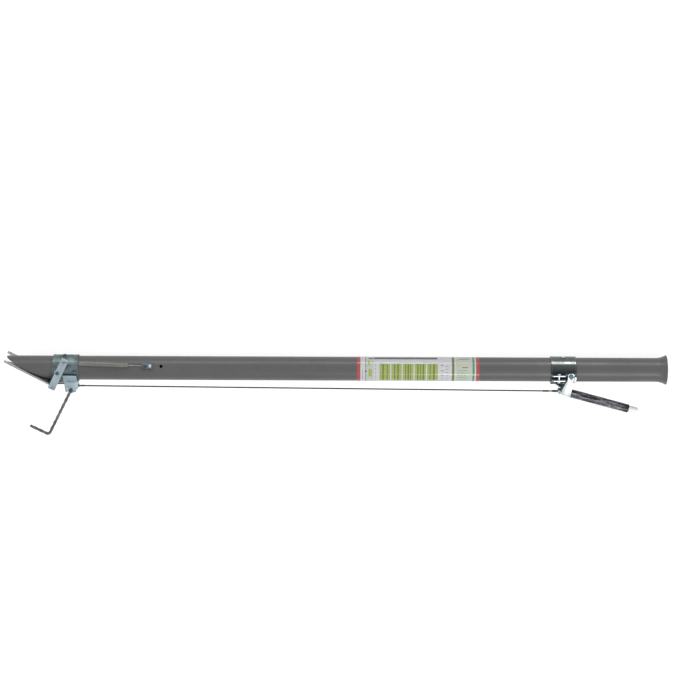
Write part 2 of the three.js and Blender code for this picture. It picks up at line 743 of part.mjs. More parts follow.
function makeHandle() {
  const start = (tailStart - gripStart.x) / Math.cos(gripSlope);
  const tail = block(start, 0.5, -tailHalfHeight, tailHalfHeight, -tailHalfWidth, tailHalfWidth);
  const end = gripLength + capLength - 3;
  const rod = turnedX([[0, 0], [0, coreRadius], [end, coreRadius], [end, 0]], 14);
  const pinX = (wirePinX - gripStart.x) / Math.cos(gripSlope);
  const slot = block(start - 1, pinX + wirePinRadius + 3.5, -9, 9, -eyeHalf - 0.6, eyeHalf + 0.6);
  const hole = rodZ(pinX, 0, -20, 20, wirePinRadius + gap / 3, 14);
  return alongGrip(join(cut(tail, slot, hole), rod));
}

function makeGrip() {
  const bore = coreRadius + gap;
  const r = gripRadius;
  const profile = [[gap + 0.5, bore], [gap + 0.5, r - 0.8], [1.6, r], [gripLength - 0.8, r],
    [gripLength, r - 0.8], [gripLength, bore], [gap + 0.5, bore]];
  return alongGrip(turnedX(profile, 20));
}

function makeEndCap() {
  const start = gripLength + gap;
  const bore = coreRadius + gap;
  const bottom = gripLength + capLength - 2;
  const end = gripLength + capLength;
  const profile = [[start, bore], [start, capRadius], [end - 1.2, capRadius], [end, capRadius - 1.2],
    [end, 0], [bottom, 0], [bottom, bore], [start, bore]];
  return alongGrip(turnedX(profile, 20));
}

// Torsion spring round the far pivot screw: a sleeve of the coil's shape with one leg.
function makeTriggerSpring() {
  const [z0, z1] = span(far, plateOuter + gap, plateOuter + 2.8);
  const coil = rodZ(triggerPivot.x, triggerPivot.y, z0, z1, 4.6, 16);
  const leg = block(triggerPivot.x - 4.4, triggerPivot.x - 3.4, triggerPivot.y - 14, triggerPivot.y,
    z1 - 1, z1);
  return cut(join(coil, leg), rodZ(triggerPivot.x, triggerPivot.y, z0 - 1, z1 + 1, pivotRadius + 0.9, 16));
}

// ---- build ----
add('tube', makeTube(), greySteel());
add('lower_collar', makeLowerCollar(), zinc());
add('lower_collar_screw', makeTopScrew(lowerScrewX), zinc());
add('pedal_bracket', makePedalBracket(), zinc());
add('foot_pivot_bolt', makeFootPivotBolt(), zinc());
add('foot_pivot_nut', makeFootPivotNut(), zinc());
for (const [side, word] of [[near, 'near'], [far, 'far']]) {
  const bandSeat = bandOuter + gap;
  const bolt = fastenerZ(bandBolt, side, shankEnd, bandSeat, 2.6, bandBolt.radius, 3.6);
  add(`collar_bolt_${word}`, bolt, zinc());
  const pivot = fastenerZ(jawPivot, side, shankEnd, armOuter + gap, 1.5, pivotRadius, 3.2, 16);
  add(`jaw_pivot_bolt_${word}`, pivot, darkSteel());
  const [w0, w1] = span(side, bandOuter + gap / 2, armInner - gap / 2);
  const washer = rodZ(jawPivot.x, jawPivot.y, w0, w1, 5.2, 18);
  add(`jaw_washer_${word}`, cut(washer, crossHole(jawPivot, pivotRadius - 0.1)), zinc());
  add(`jaw_arm_${word}`, makeArm(side), zinc());
  add(`link_strap_${word}`, makeStrap(side), zinc());
  const hingeSeat = plateOuter + (side === far ? 3.1 : gap);
  const screw = fastenerZ(triggerPivot, side, shankEnd, hingeSeat, 1.8, pivotRadius, 4, 16);
  add(`trigger_screw_${word}`, screw, darkSteel());
}
add('moving_jaw', makeMovingJaw(), zinc());
add('outer_link_pin', makeOuterLinkPin(), zinc());
add('fork_pin', makeForkPin(), zinc());
add('pedal_hub', makeHub(), brightZinc());
add('foot_bar', makeFootBar(), darkSteel());
add('latch_bolt', makeLatchBolt(), zinc());
add('pull_wire', makeWire(), darkSteel());
add('wire_eye', makeWireEye(), zinc());
add('wire_pin', makeWirePin(), zinc());
add('jaw_spring', makeJawSpring(), zinc());
add('spring_anchor', makeAnchor(), zinc());
rivetXs.forEach((x, i) => add(`anchor_rivet_${i + 1}`, makeAnchorRivet(x), zinc()));
add('label', makeLabel(), paper());
add('upper_collar', makeUpperCollar(), brightZinc());
add('upper_collar_screw', makeTopScrew(upperScrewX), zinc());
add('clamp_bolt', makeClampBolt(), zinc());
add('clamp_nut', makeClampNut(), zinc());
add('trigger_stop', makeTriggerStop(), darkSteel());
add('trigger_stirrup', makeStirrup(), brightZinc());
add('trigger_handle', makeHandle(), brightZinc());
add('trigger_spring', makeTriggerSpring(), darkSteel());
add('grip_sleeve', makeGrip(), blackRubber());
add('grip_end_cap', makeEndCap(), whitePlastic());

// The origin is the middle of the whole tool's box in x and y, and its lowest point in z.
const box = new THREE.Box3().setFromObject(tool, true);
const middle = box.getCenter(new THREE.Vector3());
tool.position.set(-middle.x, -middle.y, -box.min.z);

const plantingTube = new THREE.Group();
plantingTube.add(tool);
export default plantingTube;
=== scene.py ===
import math

import bmesh
import bpy
from mathutils import Matrix, Vector


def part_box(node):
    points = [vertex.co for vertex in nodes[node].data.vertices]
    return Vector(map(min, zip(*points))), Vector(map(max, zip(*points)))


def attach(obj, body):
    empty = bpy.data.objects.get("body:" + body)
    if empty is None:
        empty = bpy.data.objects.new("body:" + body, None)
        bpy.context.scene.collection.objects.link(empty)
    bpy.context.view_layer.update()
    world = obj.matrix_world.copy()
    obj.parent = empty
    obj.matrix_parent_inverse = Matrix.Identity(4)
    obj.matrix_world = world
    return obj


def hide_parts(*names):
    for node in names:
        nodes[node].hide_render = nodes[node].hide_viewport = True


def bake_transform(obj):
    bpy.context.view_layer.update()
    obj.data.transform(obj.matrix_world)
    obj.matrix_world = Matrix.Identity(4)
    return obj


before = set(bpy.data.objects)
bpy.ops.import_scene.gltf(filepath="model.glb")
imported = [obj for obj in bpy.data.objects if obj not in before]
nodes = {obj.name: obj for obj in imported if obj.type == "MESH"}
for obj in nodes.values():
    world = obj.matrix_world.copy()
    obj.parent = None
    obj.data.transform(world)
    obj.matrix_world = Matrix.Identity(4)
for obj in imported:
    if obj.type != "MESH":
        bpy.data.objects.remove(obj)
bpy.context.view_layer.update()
mm = 0.001

tubeLow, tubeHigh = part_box("tube")
beakX = tubeLow.x - 1.0 * mm  # the jaw's teeth reach a millimetre past the tube's crown
axisY = (tubeLow.y + tubeHigh.y) / 2
axisZ = (tubeLow.z + tubeHigh.z) / 2


def at(along=0.0, up=0.0, out=0.0):
    return Vector((beakX + along * mm, axisY + up * mm, axisZ + out * mm))


def onTool(point):  # the other way: a point of the scene in the tool's millimetres
    return Vector((point.x - beakX, point.y - axisY, point.z - axisZ)) / mm


# the camera, the lamps and the stage
cameraValues = {
    "aim": (542.9, 0.0, 0.0),
    "rise": 22.0,  # degrees that the view leans over the tube's upper side
    "distance": 3309.0,
    "lens": 107.5,
    "lift": 29.6,  # how far above the tube's axis the view's middle is
    "roll": 0.23,
}


def placeCamera(values):
    lean = math.radians(values["rise"])
    back = Vector((0, math.sin(lean), math.cos(lean)))
    above = Vector((0, math.cos(lean), -math.sin(lean)))
    bpy.ops.object.camera_add()
    camera = bpy.context.object
    camera.name = "frontCamera"
    camera.location = at(*values["aim"]) + back * values["distance"] * mm + above * values["lift"] * mm
    turn = Matrix((Vector((1, 0, 0)), above, back)).transposed()
    roll = Matrix.Rotation(math.radians(values["roll"]), 3, "Z")
    camera.rotation_euler = (turn @ roll).to_euler()
    camera.data.lens = values["lens"]
    camera.data.clip_end = 40
    bpy.context.scene.camera = camera


lampValues = {
    "keySoftbox": {"at": (1180, -640, 1400), "size": (1100, 300), "power": 7.0, "glossOnly": False},
    "upperSoftbox": {"at": (180, 1526, 272), "size": (1240, 150), "power": 5.2, "glossOnly": False},
    "glossStrip": {"at": (1085, 1568, 196), "size": (150, 600), "power": 5.5, "glossOnly": True},
}
stageValues = {
    "fill": 0.76,  # the strength of the air's own light
    "floorSize": 30, "drop": 0.0002, "paper": (0.4, 0.4, 0.4), "rough": 0.9, "glow": 0.8,
}
lampAimLimit = 800  # no lamp looks further along the tool than this


def addSoftbox(name, values):
    bpy.ops.object.light_add(type="AREA", location=at(*values["at"]))
    lamp = bpy.context.object
    lamp.name = name
    lamp.data.shape = "RECTANGLE"
    lamp.data.size, lamp.data.size_y = (side * mm for side in values["size"])
    lamp.data.energy = values["power"]
    lamp.visible_diffuse = not values["glossOnly"]  # a strip that only shines on gloss and plating
    aim = at(min(values["at"][0], lampAimLimit)) - lamp.location
    lamp.rotation_euler = aim.to_track_quat("-Z", "Y").to_euler()


# small steps that shaders are built from
def addNode(tree, kind, **settings):
    node = tree.nodes.new(kind)
    for title, value in settings.items():
        if title in node.inputs:
            node.inputs[title].default_value = value
        else:
            setattr(node, title, value)
    return node


def feed(tree, socket, value):  # a number or a colour is set on the socket, an output is linked to it
    if isinstance(value, tuple):
        socket.default_value = (*value, 1)
    elif isinstance(value, (int, float)):
        socket.default_value = value
    elif value is not None:
        tree.links.new(value, socket)


def link(tree, *pairs):
    for source, target in pairs:
        tree.links.new(source, target)


def calc(tree, operation, first, second=None, clamp=False):
    node = addNode(tree, "ShaderNodeMath", operation=operation, use_clamp=clamp)
    feed(tree, node.inputs[0], first)
    feed(tree, node.inputs[1], second)
    return node.outputs[0]


def times(tree, first, second, clamp=False):
    return calc(tree, "MULTIPLY", first, second, clamp)


def remap(tree, value, low=0.0, high=1.0, toLow=0.0, toHigh=1.0):
    node = addNode(tree, "ShaderNodeMapRange")
    titles = ("Value", "From Min", "From Max", "To Min", "To Max")
    for title, number in zip(titles, (value, low, high, toLow, toHigh)):
        feed(tree, node.inputs[title], number)
    return node.outputs["Result"]


def mixColors(tree, mask, first, second):
    node = addNode(tree, "ShaderNodeMix", data_type="RGBA")
    for socket, value in ((0, mask), (6, first), (7, second)):  # the mixer's factor and its two colours
        feed(tree, node.inputs[socket], value)
    return node.outputs[2]


def noise(tree, place, scale, **settings):
    node = addNode(tree, "ShaderNodeTexNoise", **settings)
    feed(tree, node.inputs["Vector"], place)
    feed(tree, node.inputs["Scale"], scale)
    return node.outputs["Fac"]


def splitPlace(tree, place):
    node = addNode(tree, "ShaderNodeSeparateXYZ")
    link(tree, (place, node.inputs[0]))
    return node.outputs


def seenRays(tree):  # 1 where the camera, a reflection or clear plastic looks
    path = addNode(tree, "ShaderNodeLightPath").outputs
    level = path["Is Camera Ray"]
    for kind in ("Is Glossy Ray", "Is Transmission Ray"):
        level = calc(tree, "MAXIMUM", level, path[kind])
    return level


def setWorld(values):
    world = bpy.data.worlds.new("studioAir")
    bpy.context.scene.world = world
    world.use_nodes = True
    tree = world.node_tree
    background = tree.nodes["Background"].inputs
    background["Color"].default_value = (1, 1, 1, 1)
    link(tree, (remap(tree, seenRays(tree), toLow=values["fill"]), background["Strength"]))


def makeFloor(values):
    bpy.ops.mesh.primitive_plane_add(size=values["floorSize"], location=(0, 0, -values["drop"]))
    floor = bpy.context.object
    floor.name = "paleFloor"
    paper = bpy.data.materials.new("palePaper")
    paper.use_nodes = True
    tree = paper.node_tree
    shader = tree.nodes["Principled BSDF"].inputs
    shader["Base Color"].default_value = (*values["paper"], 1)
    shader["Roughness"].default_value = values["rough"]
    shader["Emission Color"].default_value = (1, 1, 1, 1)
    link(tree, (times(tree, seenRays(tree), values["glow"]), shader["Emission Strength"]))
    floor.data.materials.append(paper)


placeCamera(cameraValues)
for lampName, lamp in lampValues.items():
    addSoftbox(lampName, lamp)
setWorld(stageValues)
makeFloor(stageValues)
bpy.context.scene.view_settings.view_transform = "Standard"
print("camera, light and floor are set")


# effects that several finishes share: each takes a place and some numbers, and gives one value
def newGroup(name, result, **numbers):
    tree = bpy.data.node_groups.new(name, "ShaderNodeTree")
    tree.interface.new_socket("Vector", in_out="INPUT", socket_type="NodeSocketVector")
    for title, value in numbers.items():
        socket = tree.interface.new_socket(title, in_out="INPUT", socket_type="NodeSocketFloat")
        socket.default_value = value
    tree.interface.new_socket(result, in_out="OUTPUT", socket_type="NodeSocketFloat")
    inside = tree.nodes.new("NodeGroupInput").outputs
    return tree, inside, tree.nodes.new("NodeGroupOutput").inputs[result]


def buildCloudGroup(finer=6.0, broadShare=0.65, fineShare=0.35):  # soft uneven patches of two sizes
    tree, inside, result = newGroup("cloudyPatches", "Value", Scale=60.0, Contrast=1.0)
    broad = noise(tree, inside["Vector"], inside["Scale"], Detail=4.0, Roughness=0.6)
    fine = noise(tree, inside["Vector"], times(tree, inside["Scale"], finer), Detail=3.0, Roughness=0.7)
    both = calc(tree, "ADD", times(tree, broad, broadShare), times(tree, fine, fineShare))
    swing = times(tree, calc(tree, "SUBTRACT", both, 0.5), inside["Contrast"])
    link(tree, (calc(tree, "ADD", times(tree, swing, 2.0), 0.5, clamp=True), result))
    return tree


def buildEdgeGroup(sharp=0.86, flush=0.985):  # where edges stand out and are rubbed, broken up by patches
    tree, inside, result = newGroup("rubbedEdges", "Mask", Width=0.0006, Amount=1.0)
    rounded = addNode(tree, "ShaderNodeBevel", samples=6)
    flat = addNode(tree, "ShaderNodeNewGeometry")
    agree = addNode(tree, "ShaderNodeVectorMath", operation="DOT_PRODUCT")
    patches = noise(tree, inside["Vector"], 220.0, Detail=3.0)
    link(
        tree,
        (inside["Width"], rounded.inputs["Radius"]),
        (rounded.outputs["Normal"], agree.inputs[0]),
        (flat.outputs["Normal"], agree.inputs[1]),
    )
    edge = remap(tree, agree.outputs["Value"], flush, sharp)
    broken = times(tree, edge, remap(tree, patches, 0.35, 0.6, 0.25))
    link(tree, (times(tree, broken, inside["Amount"], clamp=True), result))
    return tree


def buildScratchGroup():  # fine marks drawn out along the tool, as a height
    tree, inside, result = newGroup("fineScratches", "Height", Scale=900.0, Stretch=14.0)
    squeeze = addNode(tree, "ShaderNodeCombineXYZ", Y=1.0, Z=1.0)
    longer = addNode(tree, "ShaderNodeVectorMath", operation="MULTIPLY")
    link(
        tree,
        (calc(tree, "DIVIDE", 1.0, inside["Stretch"]), squeeze.inputs["X"]),
        (inside["Vector"], longer.inputs[0]),
        (squeeze.outputs[0], longer.inputs[1]),
        (noise(tree, longer.outputs[0], inside["Scale"], Detail=4.0, Roughness=0.65), result),
    )
    return tree


def buildDustGroup(fade=0.07):  # a film of soil that fades out within so many metres of its reach
    tree, inside, result = newGroup("soilFilm", "Mask", Reach=-0.42, Amount=0.5)
    grains = noise(tree, inside["Vector"], 140.0, Detail=6.0, Roughness=0.7)
    end = calc(tree, "ADD", inside["Reach"], fade)
    low = remap(tree, splitPlace(tree, inside["Vector"])["X"], inside["Reach"], end, 1.0, 0.0)
    film = times(tree, low, remap(tree, grains, 0.48, 0.66))
    link(tree, (times(tree, film, inside["Amount"], clamp=True), result))
    return tree


cloudGroup = buildCloudGroup()
edgeGroup = buildEdgeGroup()
scratchGroup = buildScratchGroup()
dustGroup = buildDustGroup()


def useGroup(tree, group, vector, **values):
    node = tree.nodes.new("ShaderNodeGroup")
    node.node_tree = group
    for title, value in values.items():
        node.inputs[title].default_value = value
    tree.links.new(vector, node.inputs["Vector"])
    return node.outputs[0]


def newMaterial(name):
    material = bpy.data.materials.new(name)
    material.use_nodes = True
    tree = material.node_tree
    place = addNode(tree, "ShaderNodeTexCoord").outputs["Object"]
    return material, tree, tree.nodes["Principled BSDF"].inputs, place


def turnedPlace(tree, place, title, value):
    node = addNode(tree, "ShaderNodeMapping", **{title: value})
    link(tree, (place, node.inputs["Vector"]))
    return node.outputs[0]


def finishShader(tree, shader, color, rough, height, depth, strength=0.5):  # depth in millimetres
    bump = addNode(tree, "ShaderNodeBump", Strength=strength, Distance=depth * mm)
    link(
        tree,
        (color, shader["Base Color"]),
        (rough, shader["Roughness"]),
        (height, bump.inputs["Height"]),
        (bump.outputs["Normal"], shader["Normal"]),
    )


degreesPerRadian = 57.29578


def aroundTool(tree, place):  # degrees round the tube from the near side, and millimetres from its axis
    centred = splitPlace(tree, turnedPlace(tree, place, "Location", -at()))
    up, out = centred["Y"], centred["Z"]
    angle = times(tree, calc(tree, "ARCTAN2", up, out), degreesPerRadian)
    square = calc(tree, "ADD", times(tree, up, up), times(tree, out, out))
    return angle, times(tree, calc(tree, "SQRT", square), 1000.0)


def makeMetal(name, values):  # plated or bare steel
    material, tree, shader, place = newMaterial(name)
    shader["Metallic"].default_value = values["metallic"]
    clouds = useGroup(tree, cloudGroup, place, Scale=values["cloudScale"], Contrast=values["contrast"])
    edges = useGroup(tree, edgeGroup, place, Width=values["edge"] * mm, Amount=values["rub"])
    marks = useGroup(tree, scratchGroup, place, Scale=values["grain"])
    soil = useGroup(tree, dustGroup, place, Amount=values["soil"], Reach=values["soilReach"])
    color = mixColors(tree, clouds, values["dark"], values["light"])
    if "paintedShadeAngles" in values:  # the band's lower half gets painted shade, and what stands out from it gets a painted highlight
        angle, reach = aroundTool(tree, place)
        low = remap(tree, angle, *values["paintedShadeAngles"], 1.0, 0.0)
        color = mixColors(tree, low, color, values["paintedShade"])
        proud = remap(tree, reach, values["proud"], values["proud"] + 0.5)
        color = mixColors(tree, proud, color, values["paintedHighlight"])
    color = mixColors(tree, edges, color, values["worn"])
    color = mixColors(tree, soil, color, values["earth"])
    rough = remap(tree, clouds, toLow=values["rough"] + 0.07, toHigh=values["rough"] - 0.05)
    rough = calc(tree, "ADD", rough, times(tree, soil, 0.4))
    finishShader(tree, shader, color, rough, marks, values["bump"])
    return material


zincValues = {
    "metallic": 0.9, "dark": (0.29, 0.36, 0.4), "light": (0.385, 0.475, 0.53), "worn": (0.52, 0.58, 0.61),
    "cloudScale": 70.0, "contrast": 1.8, "edge": 0.5, "rub": 0.7, "grain": 1500.0, "rough": 0.42,
    "bump": 0.05, "soil": 0.25, "soilReach": -0.42, "earth": (0.11, 0.085, 0.06),
}
collarZincValues = {
    **zincValues, "dark": (0.07, 0.105, 0.115), "light": (0.17, 0.215, 0.22), "worn": (0.33, 0.4, 0.42),
    "contrast": 2.8, "cloudScale": 80.0, "bump": 0.02,
    # below these angles round the band the zinc is darkened: painted shade
    "paintedShadeAngles": (-14.0, 16.0), "paintedShade": (0.07, 0.11, 0.13), "proud": 60.0, "paintedHighlight": (0.4, 0.45, 0.47),
}
brightZincValues = {
    **zincValues, "dark": (0.076, 0.084, 0.079), "light": (0.132, 0.142, 0.134), "worn": (0.5, 0.54, 0.54),
    "metallic": 1.0, "cloudScale": 60.0, "contrast": 1.6, "rub": 0.6, "grain": 1300.0, "rough": 0.2,
    "soil": 0.0, "bump": 0.012,
    # painted shade below these angles round the band, and a painted highlight on the ears and fittings that
    # stand out from it
    "paintedShadeAngles": (12.0, 48.0), "paintedShade": (0.026, 0.034, 0.038), "proud": 21.5, "paintedHighlight": (0.56, 0.6, 0.64),
}
darkSteelValues = {
    **zincValues, "dark": (0.055, 0.055, 0.06), "light": (0.105, 0.105, 0.11), "worn": (0.28, 0.28, 0.29),
    "metallic": 0.85, "cloudScale": 120.0, "edge": 0.4, "grain": 1800.0, "soil": 0.2, "bump": 0.06,
}
wireValues = {
    **zincValues, "dark": (0.02, 0.02, 0.022), "light": (0.05, 0.05, 0.055), "worn": (0.1, 0.1, 0.11),
    "metallic": 0.5, "cloudScale": 200.0, "contrast": 1.4, "edge": 0.2, "rub": 0.3, "grain": 2400.0,
    "rough": 0.4, "soil": 0.0, "bump": 0.03,
}
springValues = {
    **wireValues, "dark": (0.19, 0.195, 0.18), "light": (0.33, 0.335, 0.31), "worn": (0.5, 0.5, 0.48),
    "metallic": 0.9, "cloudScale": 160.0, "rub": 0.4, "rough": 0.3,
}
# the metals of single pieces
ownMetals = {
    "hubZinc": {**zincValues, "dark": (0.40, 0.48, 0.52), "light": (0.5, 0.58, 0.63), "rough": 0.45},
    "barSteel": {
        **darkSteelValues, "dark": (0.04, 0.045, 0.045), "light": (0.19, 0.195, 0.195),
        "contrast": 2.6, "cloudScale": 70.0, "rough": 0.3,
    },
    "plateZinc": {
        **zincValues, "dark": (0.42, 0.47, 0.49), "light": (0.56, 0.61, 0.63), "soil": 0.0, "rough": 0.3,
    },
    "anchorZinc": {
        **zincValues, "dark": (0.08, 0.105, 0.125), "light": (0.15, 0.19, 0.215), "worn": (0.24, 0.28, 0.3),
        "soil": 0.0,
    },
    "jawZinc": {
        **zincValues, "dark": (0.31, 0.335, 0.335), "light": (0.43, 0.455, 0.46), "worn": (0.58, 0.6, 0.61),
        "contrast": 2.4, "soil": 1.0, "soilReach": -0.515, "earth": (0.13, 0.128, 0.125),
    },
    "pivotZinc": {
        **zincValues, "dark": (0.05, 0.085, 0.1), "light": (0.11, 0.16, 0.18), "worn": (0.3, 0.37, 0.4),
    },
}

paintValues = {
    "paint": (0.084, 0.084, 0.085), "paler": (0.101, 0.1, 0.099), "steel": (0.4, 0.39, 0.38),
    "scuff": (0.2, 0.2, 0.2), "earth": (0.1, 0.08, 0.055), "soilReach": -0.47, "soil": 0.35,
    "cloudScale": 18.0, "peel": 900.0, "peelHeight": 0.03, "rough": 0.36, "chips": 0.75, "edge": 0.9,
    "shine": 0.45,
}


def makePaint(name, values):  # satin grey coat over thin steel, rubbed through on its edges
    material, tree, shader, place = newMaterial(name)
    clouds = useGroup(tree, cloudGroup, place, Scale=values["cloudScale"], Contrast=1.5)
    edges = useGroup(tree, edgeGroup, place, Width=values["edge"] * mm, Amount=values["chips"])
    marks = useGroup(tree, scratchGroup, place, Scale=700.0, Stretch=30.0)
    soil = useGroup(tree, dustGroup, place, Reach=values["soilReach"], Amount=values["soil"])
    color = mixColors(tree, clouds, values["paint"], values["paler"])
    scuffs = times(tree, remap(tree, marks, 0.66, 0.76), 0.25)
    color = mixColors(tree, scuffs, color, values["scuff"])
    color = mixColors(tree, edges, color, values["steel"])
    color = mixColors(tree, soil, color, values["earth"])
    rough = remap(tree, clouds, toLow=values["rough"] + 0.05, toHigh=values["rough"] - 0.04)
    rough = calc(tree, "ADD", rough, times(tree, soil, 0.3))
    link(tree, (edges, shader["Metallic"]))
    shader["Specular IOR Level"].default_value = values["shine"]
    peel = noise(tree, place, values["peel"], Detail=1.0)
    finishShader(tree, shader, color, rough, peel, values["peelHeight"], 0.4)
    return material


rubberValues = {
    # the pale streak colour is painted sheen
    "dark": (0.006, 0.006, 0.008), "paintedSheen": (0.5, 0.48, 0.57), "rough": 0.24, "grain": 330.0,
    "stretch": 7.0, "folds": 0.5, "slope": -15.7, "shine": 0.35,
}


def makeRubber(name, values):
    material, tree, shader, place = newMaterial(name)
    slope = math.radians(values["slope"])
    along = turnedPlace(tree, place, "Rotation", (0, 0, -slope))  # the grip's own length
    clouds = useGroup(tree, cloudGroup, place, Scale=90.0, Contrast=2.0)
    marks = useGroup(tree, scratchGroup, along, Scale=values["grain"], Stretch=values["stretch"])
    # pale lengthwise streaks of painted sheen, standing in for highlights on the glossy rubber
    paintedSheenStreaks = times(tree, remap(tree, marks, 0.45, 0.68), remap(tree, clouds, 0.25, 0.65, 0.2))
    color = mixColors(tree, paintedSheenStreaks, values["dark"], values["paintedSheen"])
    shader["Specular IOR Level"].default_value = values["shine"]
    rough = remap(tree, clouds, toLow=values["rough"], toHigh=values["rough"] + 0.16)
    finishShader(tree, shader, color, rough, marks, values["folds"], 0.9)
    return material


plasticValues = {"tone": (0.97, 0.97, 0.96), "shade": (0.93, 0.93, 0.92), "edgeShade": 0.94, "edge": 0.5}


def makePlastic(name, values):
    material, tree, shader, place = newMaterial(name)
    clouds = useGroup(tree, cloudGroup, place, Scale=110.0, Contrast=1.4)
    edges = useGroup(tree, edgeGroup, place, Width=values["edge"] * mm, Amount=0.35)
    tone = mixColors(tree, clouds, values["shade"], values["tone"])
    tone = mixColors(tree, edges, tone, tuple(values["edgeShade"] * c for c in values["shade"]))
    finishShader(tree, shader, tone, remap(tree, clouds, toLow=0.46, toHigh=0.36), clouds, 0.03, 0.3)
    return material


labelInk = {
    "film": (0.60, 0.60, 0.63), "red": (0.44, 0.075, 0.07), "leaf": (0.36, 0.45, 0.125),
    "moss": (0.16, 0.215, 0.035), "rule": (0.09, 0.30, 0.15), "slate": (0.085, 0.09, 0.085),
    "olive": (0.17, 0.19, 0.06), "tick": (0.25, 0.27, 0.27), "mint": (0.54, 0.59, 0.49),
}
# each printed patch: ink, first and last place along the tool, lowest and highest angle round the tube
labelPatches = [
    ("mint", 569.6, 580.4, -60, 78), ("mint", 709.4, 734.6, -62, 90), ("leaf", 572.0, 577.5, -16, 22),
    ("leaf", 571.0, 574.0, 40, 64), ("slate", 572.0, 580.0, 76, 86), ("mint", 684.0, 700.0, -50, -42),
    ("red", 554.0, 559.4, -170, 170), ("red", 741.6, 747.0, -170, 170), ("rule", 567.2, 568.6, -170, 170),
    ("rule", 735.8, 739.2, -60, 100), ("olive", 703.6, 707.4, -80, 100), ("slate", 581.0, 681.0, 74, 92),
    ("slate", 566.4, 569.6, 8, 14), ("tick", 562.6, 563.4, -40, 20),
    *[("leaf", low, high, -44, 47) for low, high in (
        (589.5, 606.3), (608.2, 624.3), (626.1, 643.0), (645.0, 662.4), (664.6, 681.5),
    )],
    *[("moss", low, low + wide, -44, 45) for low, wide in (
        (594.0, 2.4), (601.0, 1.4), (612.5, 1.6), (617.6, 2.2), (630.0, 1.4), (633.8, 2.0), (637.6, 1.2),
        (649.0, 1.8), (653.4, 1.2), (657.4, 2.2), (668.5, 1.4), (674.0, 2.6),
    )],
    *[("tick", 686.0, 690.6, angle, angle + 4) for angle in (-34, -12, 12, 38, 80)],
    *[("tick", 693.4, 698.0, angle, angle + 2.5) for angle in (-40, -25, -10, 5, 20, 34)],
    *[("rule", 713.0, 727.0, angle, angle + 2) for angle in (-34, -22, -10, 2, 14)],
    ("red", 720.0, 729.0, 28, 32),
    *[("tick", 715.0, 731.0, angle, angle + 5) for angle in (72, 84)],
    *[("tick", 583.0, 584.0, angle, angle + 8) for angle in (-36, -18, 0, 18, 34)],
]


def makeLabelFilm(name, ink, patches):
    material, tree, shader, place = newMaterial(name)
    along = times(tree, calc(tree, "SUBTRACT", splitPlace(tree, place)["X"], at().x), 1000.0)
    angle = aroundTool(tree, place)[0]
    clouds = useGroup(tree, cloudGroup, place, Scale=260.0, Contrast=1.6)
    color = mixColors(tree, clouds, tuple(0.93 * c for c in ink["film"]), ink["film"])
    for title, low, high, first, last in patches:
        within = []
        for source, start, end in ((along, low, high), (angle, first, last)):
            node = addNode(tree, "ShaderNodeMath", operation="COMPARE")
            for socket, value in enumerate((source, (start + end) / 2, (end - start) / 2)):
                feed(tree, node.inputs[socket], value)
            within.append(node.outputs[0])
        shade = mixColors(tree, clouds, tuple(0.8 * c for c in ink[title]), ink[title])
        color = mixColors(tree, times(tree, *within), color, shade)
    scuffs = useGroup(tree, scratchGroup, place, Scale=700.0, Stretch=20.0)
    finishShader(tree, shader, color, remap(tree, clouds, toLow=0.2, toHigh=0.14), scuffs, 0.02, 0.15)
    return material


finishes = {
    "grey_steel": makePaint("satinGreyPaint", paintValues),
    "zinc": makeMetal("zincPlate", zincValues),
    "collarZinc": makeMetal("collarZinc", collarZincValues),
    "bright_zinc": makeMetal("brightZinc", brightZincValues),
    "dark_steel": makeMetal("darkSteel", darkSteelValues),
    "wire": makeMetal("drawnWire", wireValues),
    "spring_steel": makeMetal("springSteel", springValues),
    "black_rubber": makeRubber("blackRubber", rubberValues),
    "white_plastic": makePlastic("whitePlastic", plasticValues),
    "label_film": makeLabelFilm("labelFilm", labelInk, labelPatches),
    **{name: makeMetal(name, values) for name, values in ownMetals.items()},
}
print("finishes ready:", ", ".join(sorted(finishes)))


# small steps that pieces are modelled with
def clearSelection():
    if bpy.context.mode != "OBJECT":
        bpy.ops.object.mode_set(mode="OBJECT")
    bpy.ops.object.select_all(action="DESELECT")


def choose(piece):
    clearSelection()
    piece.select_set(True)
    bpy.context.view_layer.objects.active = piece
    return piece


def applyPlace(piece):
    choose(piece)
    bpy.ops.object.transform_apply(location=True, rotation=True, scale=True)
    return piece


def newPiece(name):  # names the primitive that was just added
    piece = bpy.context.object
    piece.name = name
    return applyPlace(piece)


def startEdit(piece, kind="FACE", action="DESELECT"):
    choose(piece)
    bpy.ops.object.mode_set(mode="EDIT")
    bpy.ops.mesh.select_mode(type=kind)
    bpy.ops.mesh.select_all(action=action)


def endEdit():
    bpy.ops.object.mode_set(mode="OBJECT")


def pick(piece, kind, wanted, local=False):  # selects what passes a test of its middle and its direction
    bpy.ops.mesh.select_mode(type={"verts": "VERT", "edges": "EDGE", "faces": "FACE"}[kind])
    bpy.ops.mesh.select_all(action="DESELECT")
    mesh = bmesh.from_edit_mesh(piece.data)
    for item in getattr(mesh, kind):
        if kind == "faces":
            middle, facing = item.calc_center_median(), item.normal
        elif kind == "edges":
            middle = (item.verts[0].co + item.verts[1].co) / 2
            facing = (item.verts[1].co - item.verts[0].co).normalized()
        else:
            middle, facing = item.co, item.normal
        if wanted(middle / mm if local else onTool(middle), facing):
            item.select_set(True)
    bmesh.update_edit_mesh(piece.data)


def cutAcross(places, facing=(1, 0, 0)):  # adds a ring of edges at each place
    for place in places:
        bpy.ops.mesh.select_all(action="SELECT")
        bpy.ops.mesh.bisect(plane_co=place, plane_no=facing)


def drawOut(along=0, up=0, out=0):
    move = (along * mm, up * mm, out * mm)
    bpy.ops.mesh.extrude_region_move(TRANSFORM_OT_translate={"value": move})


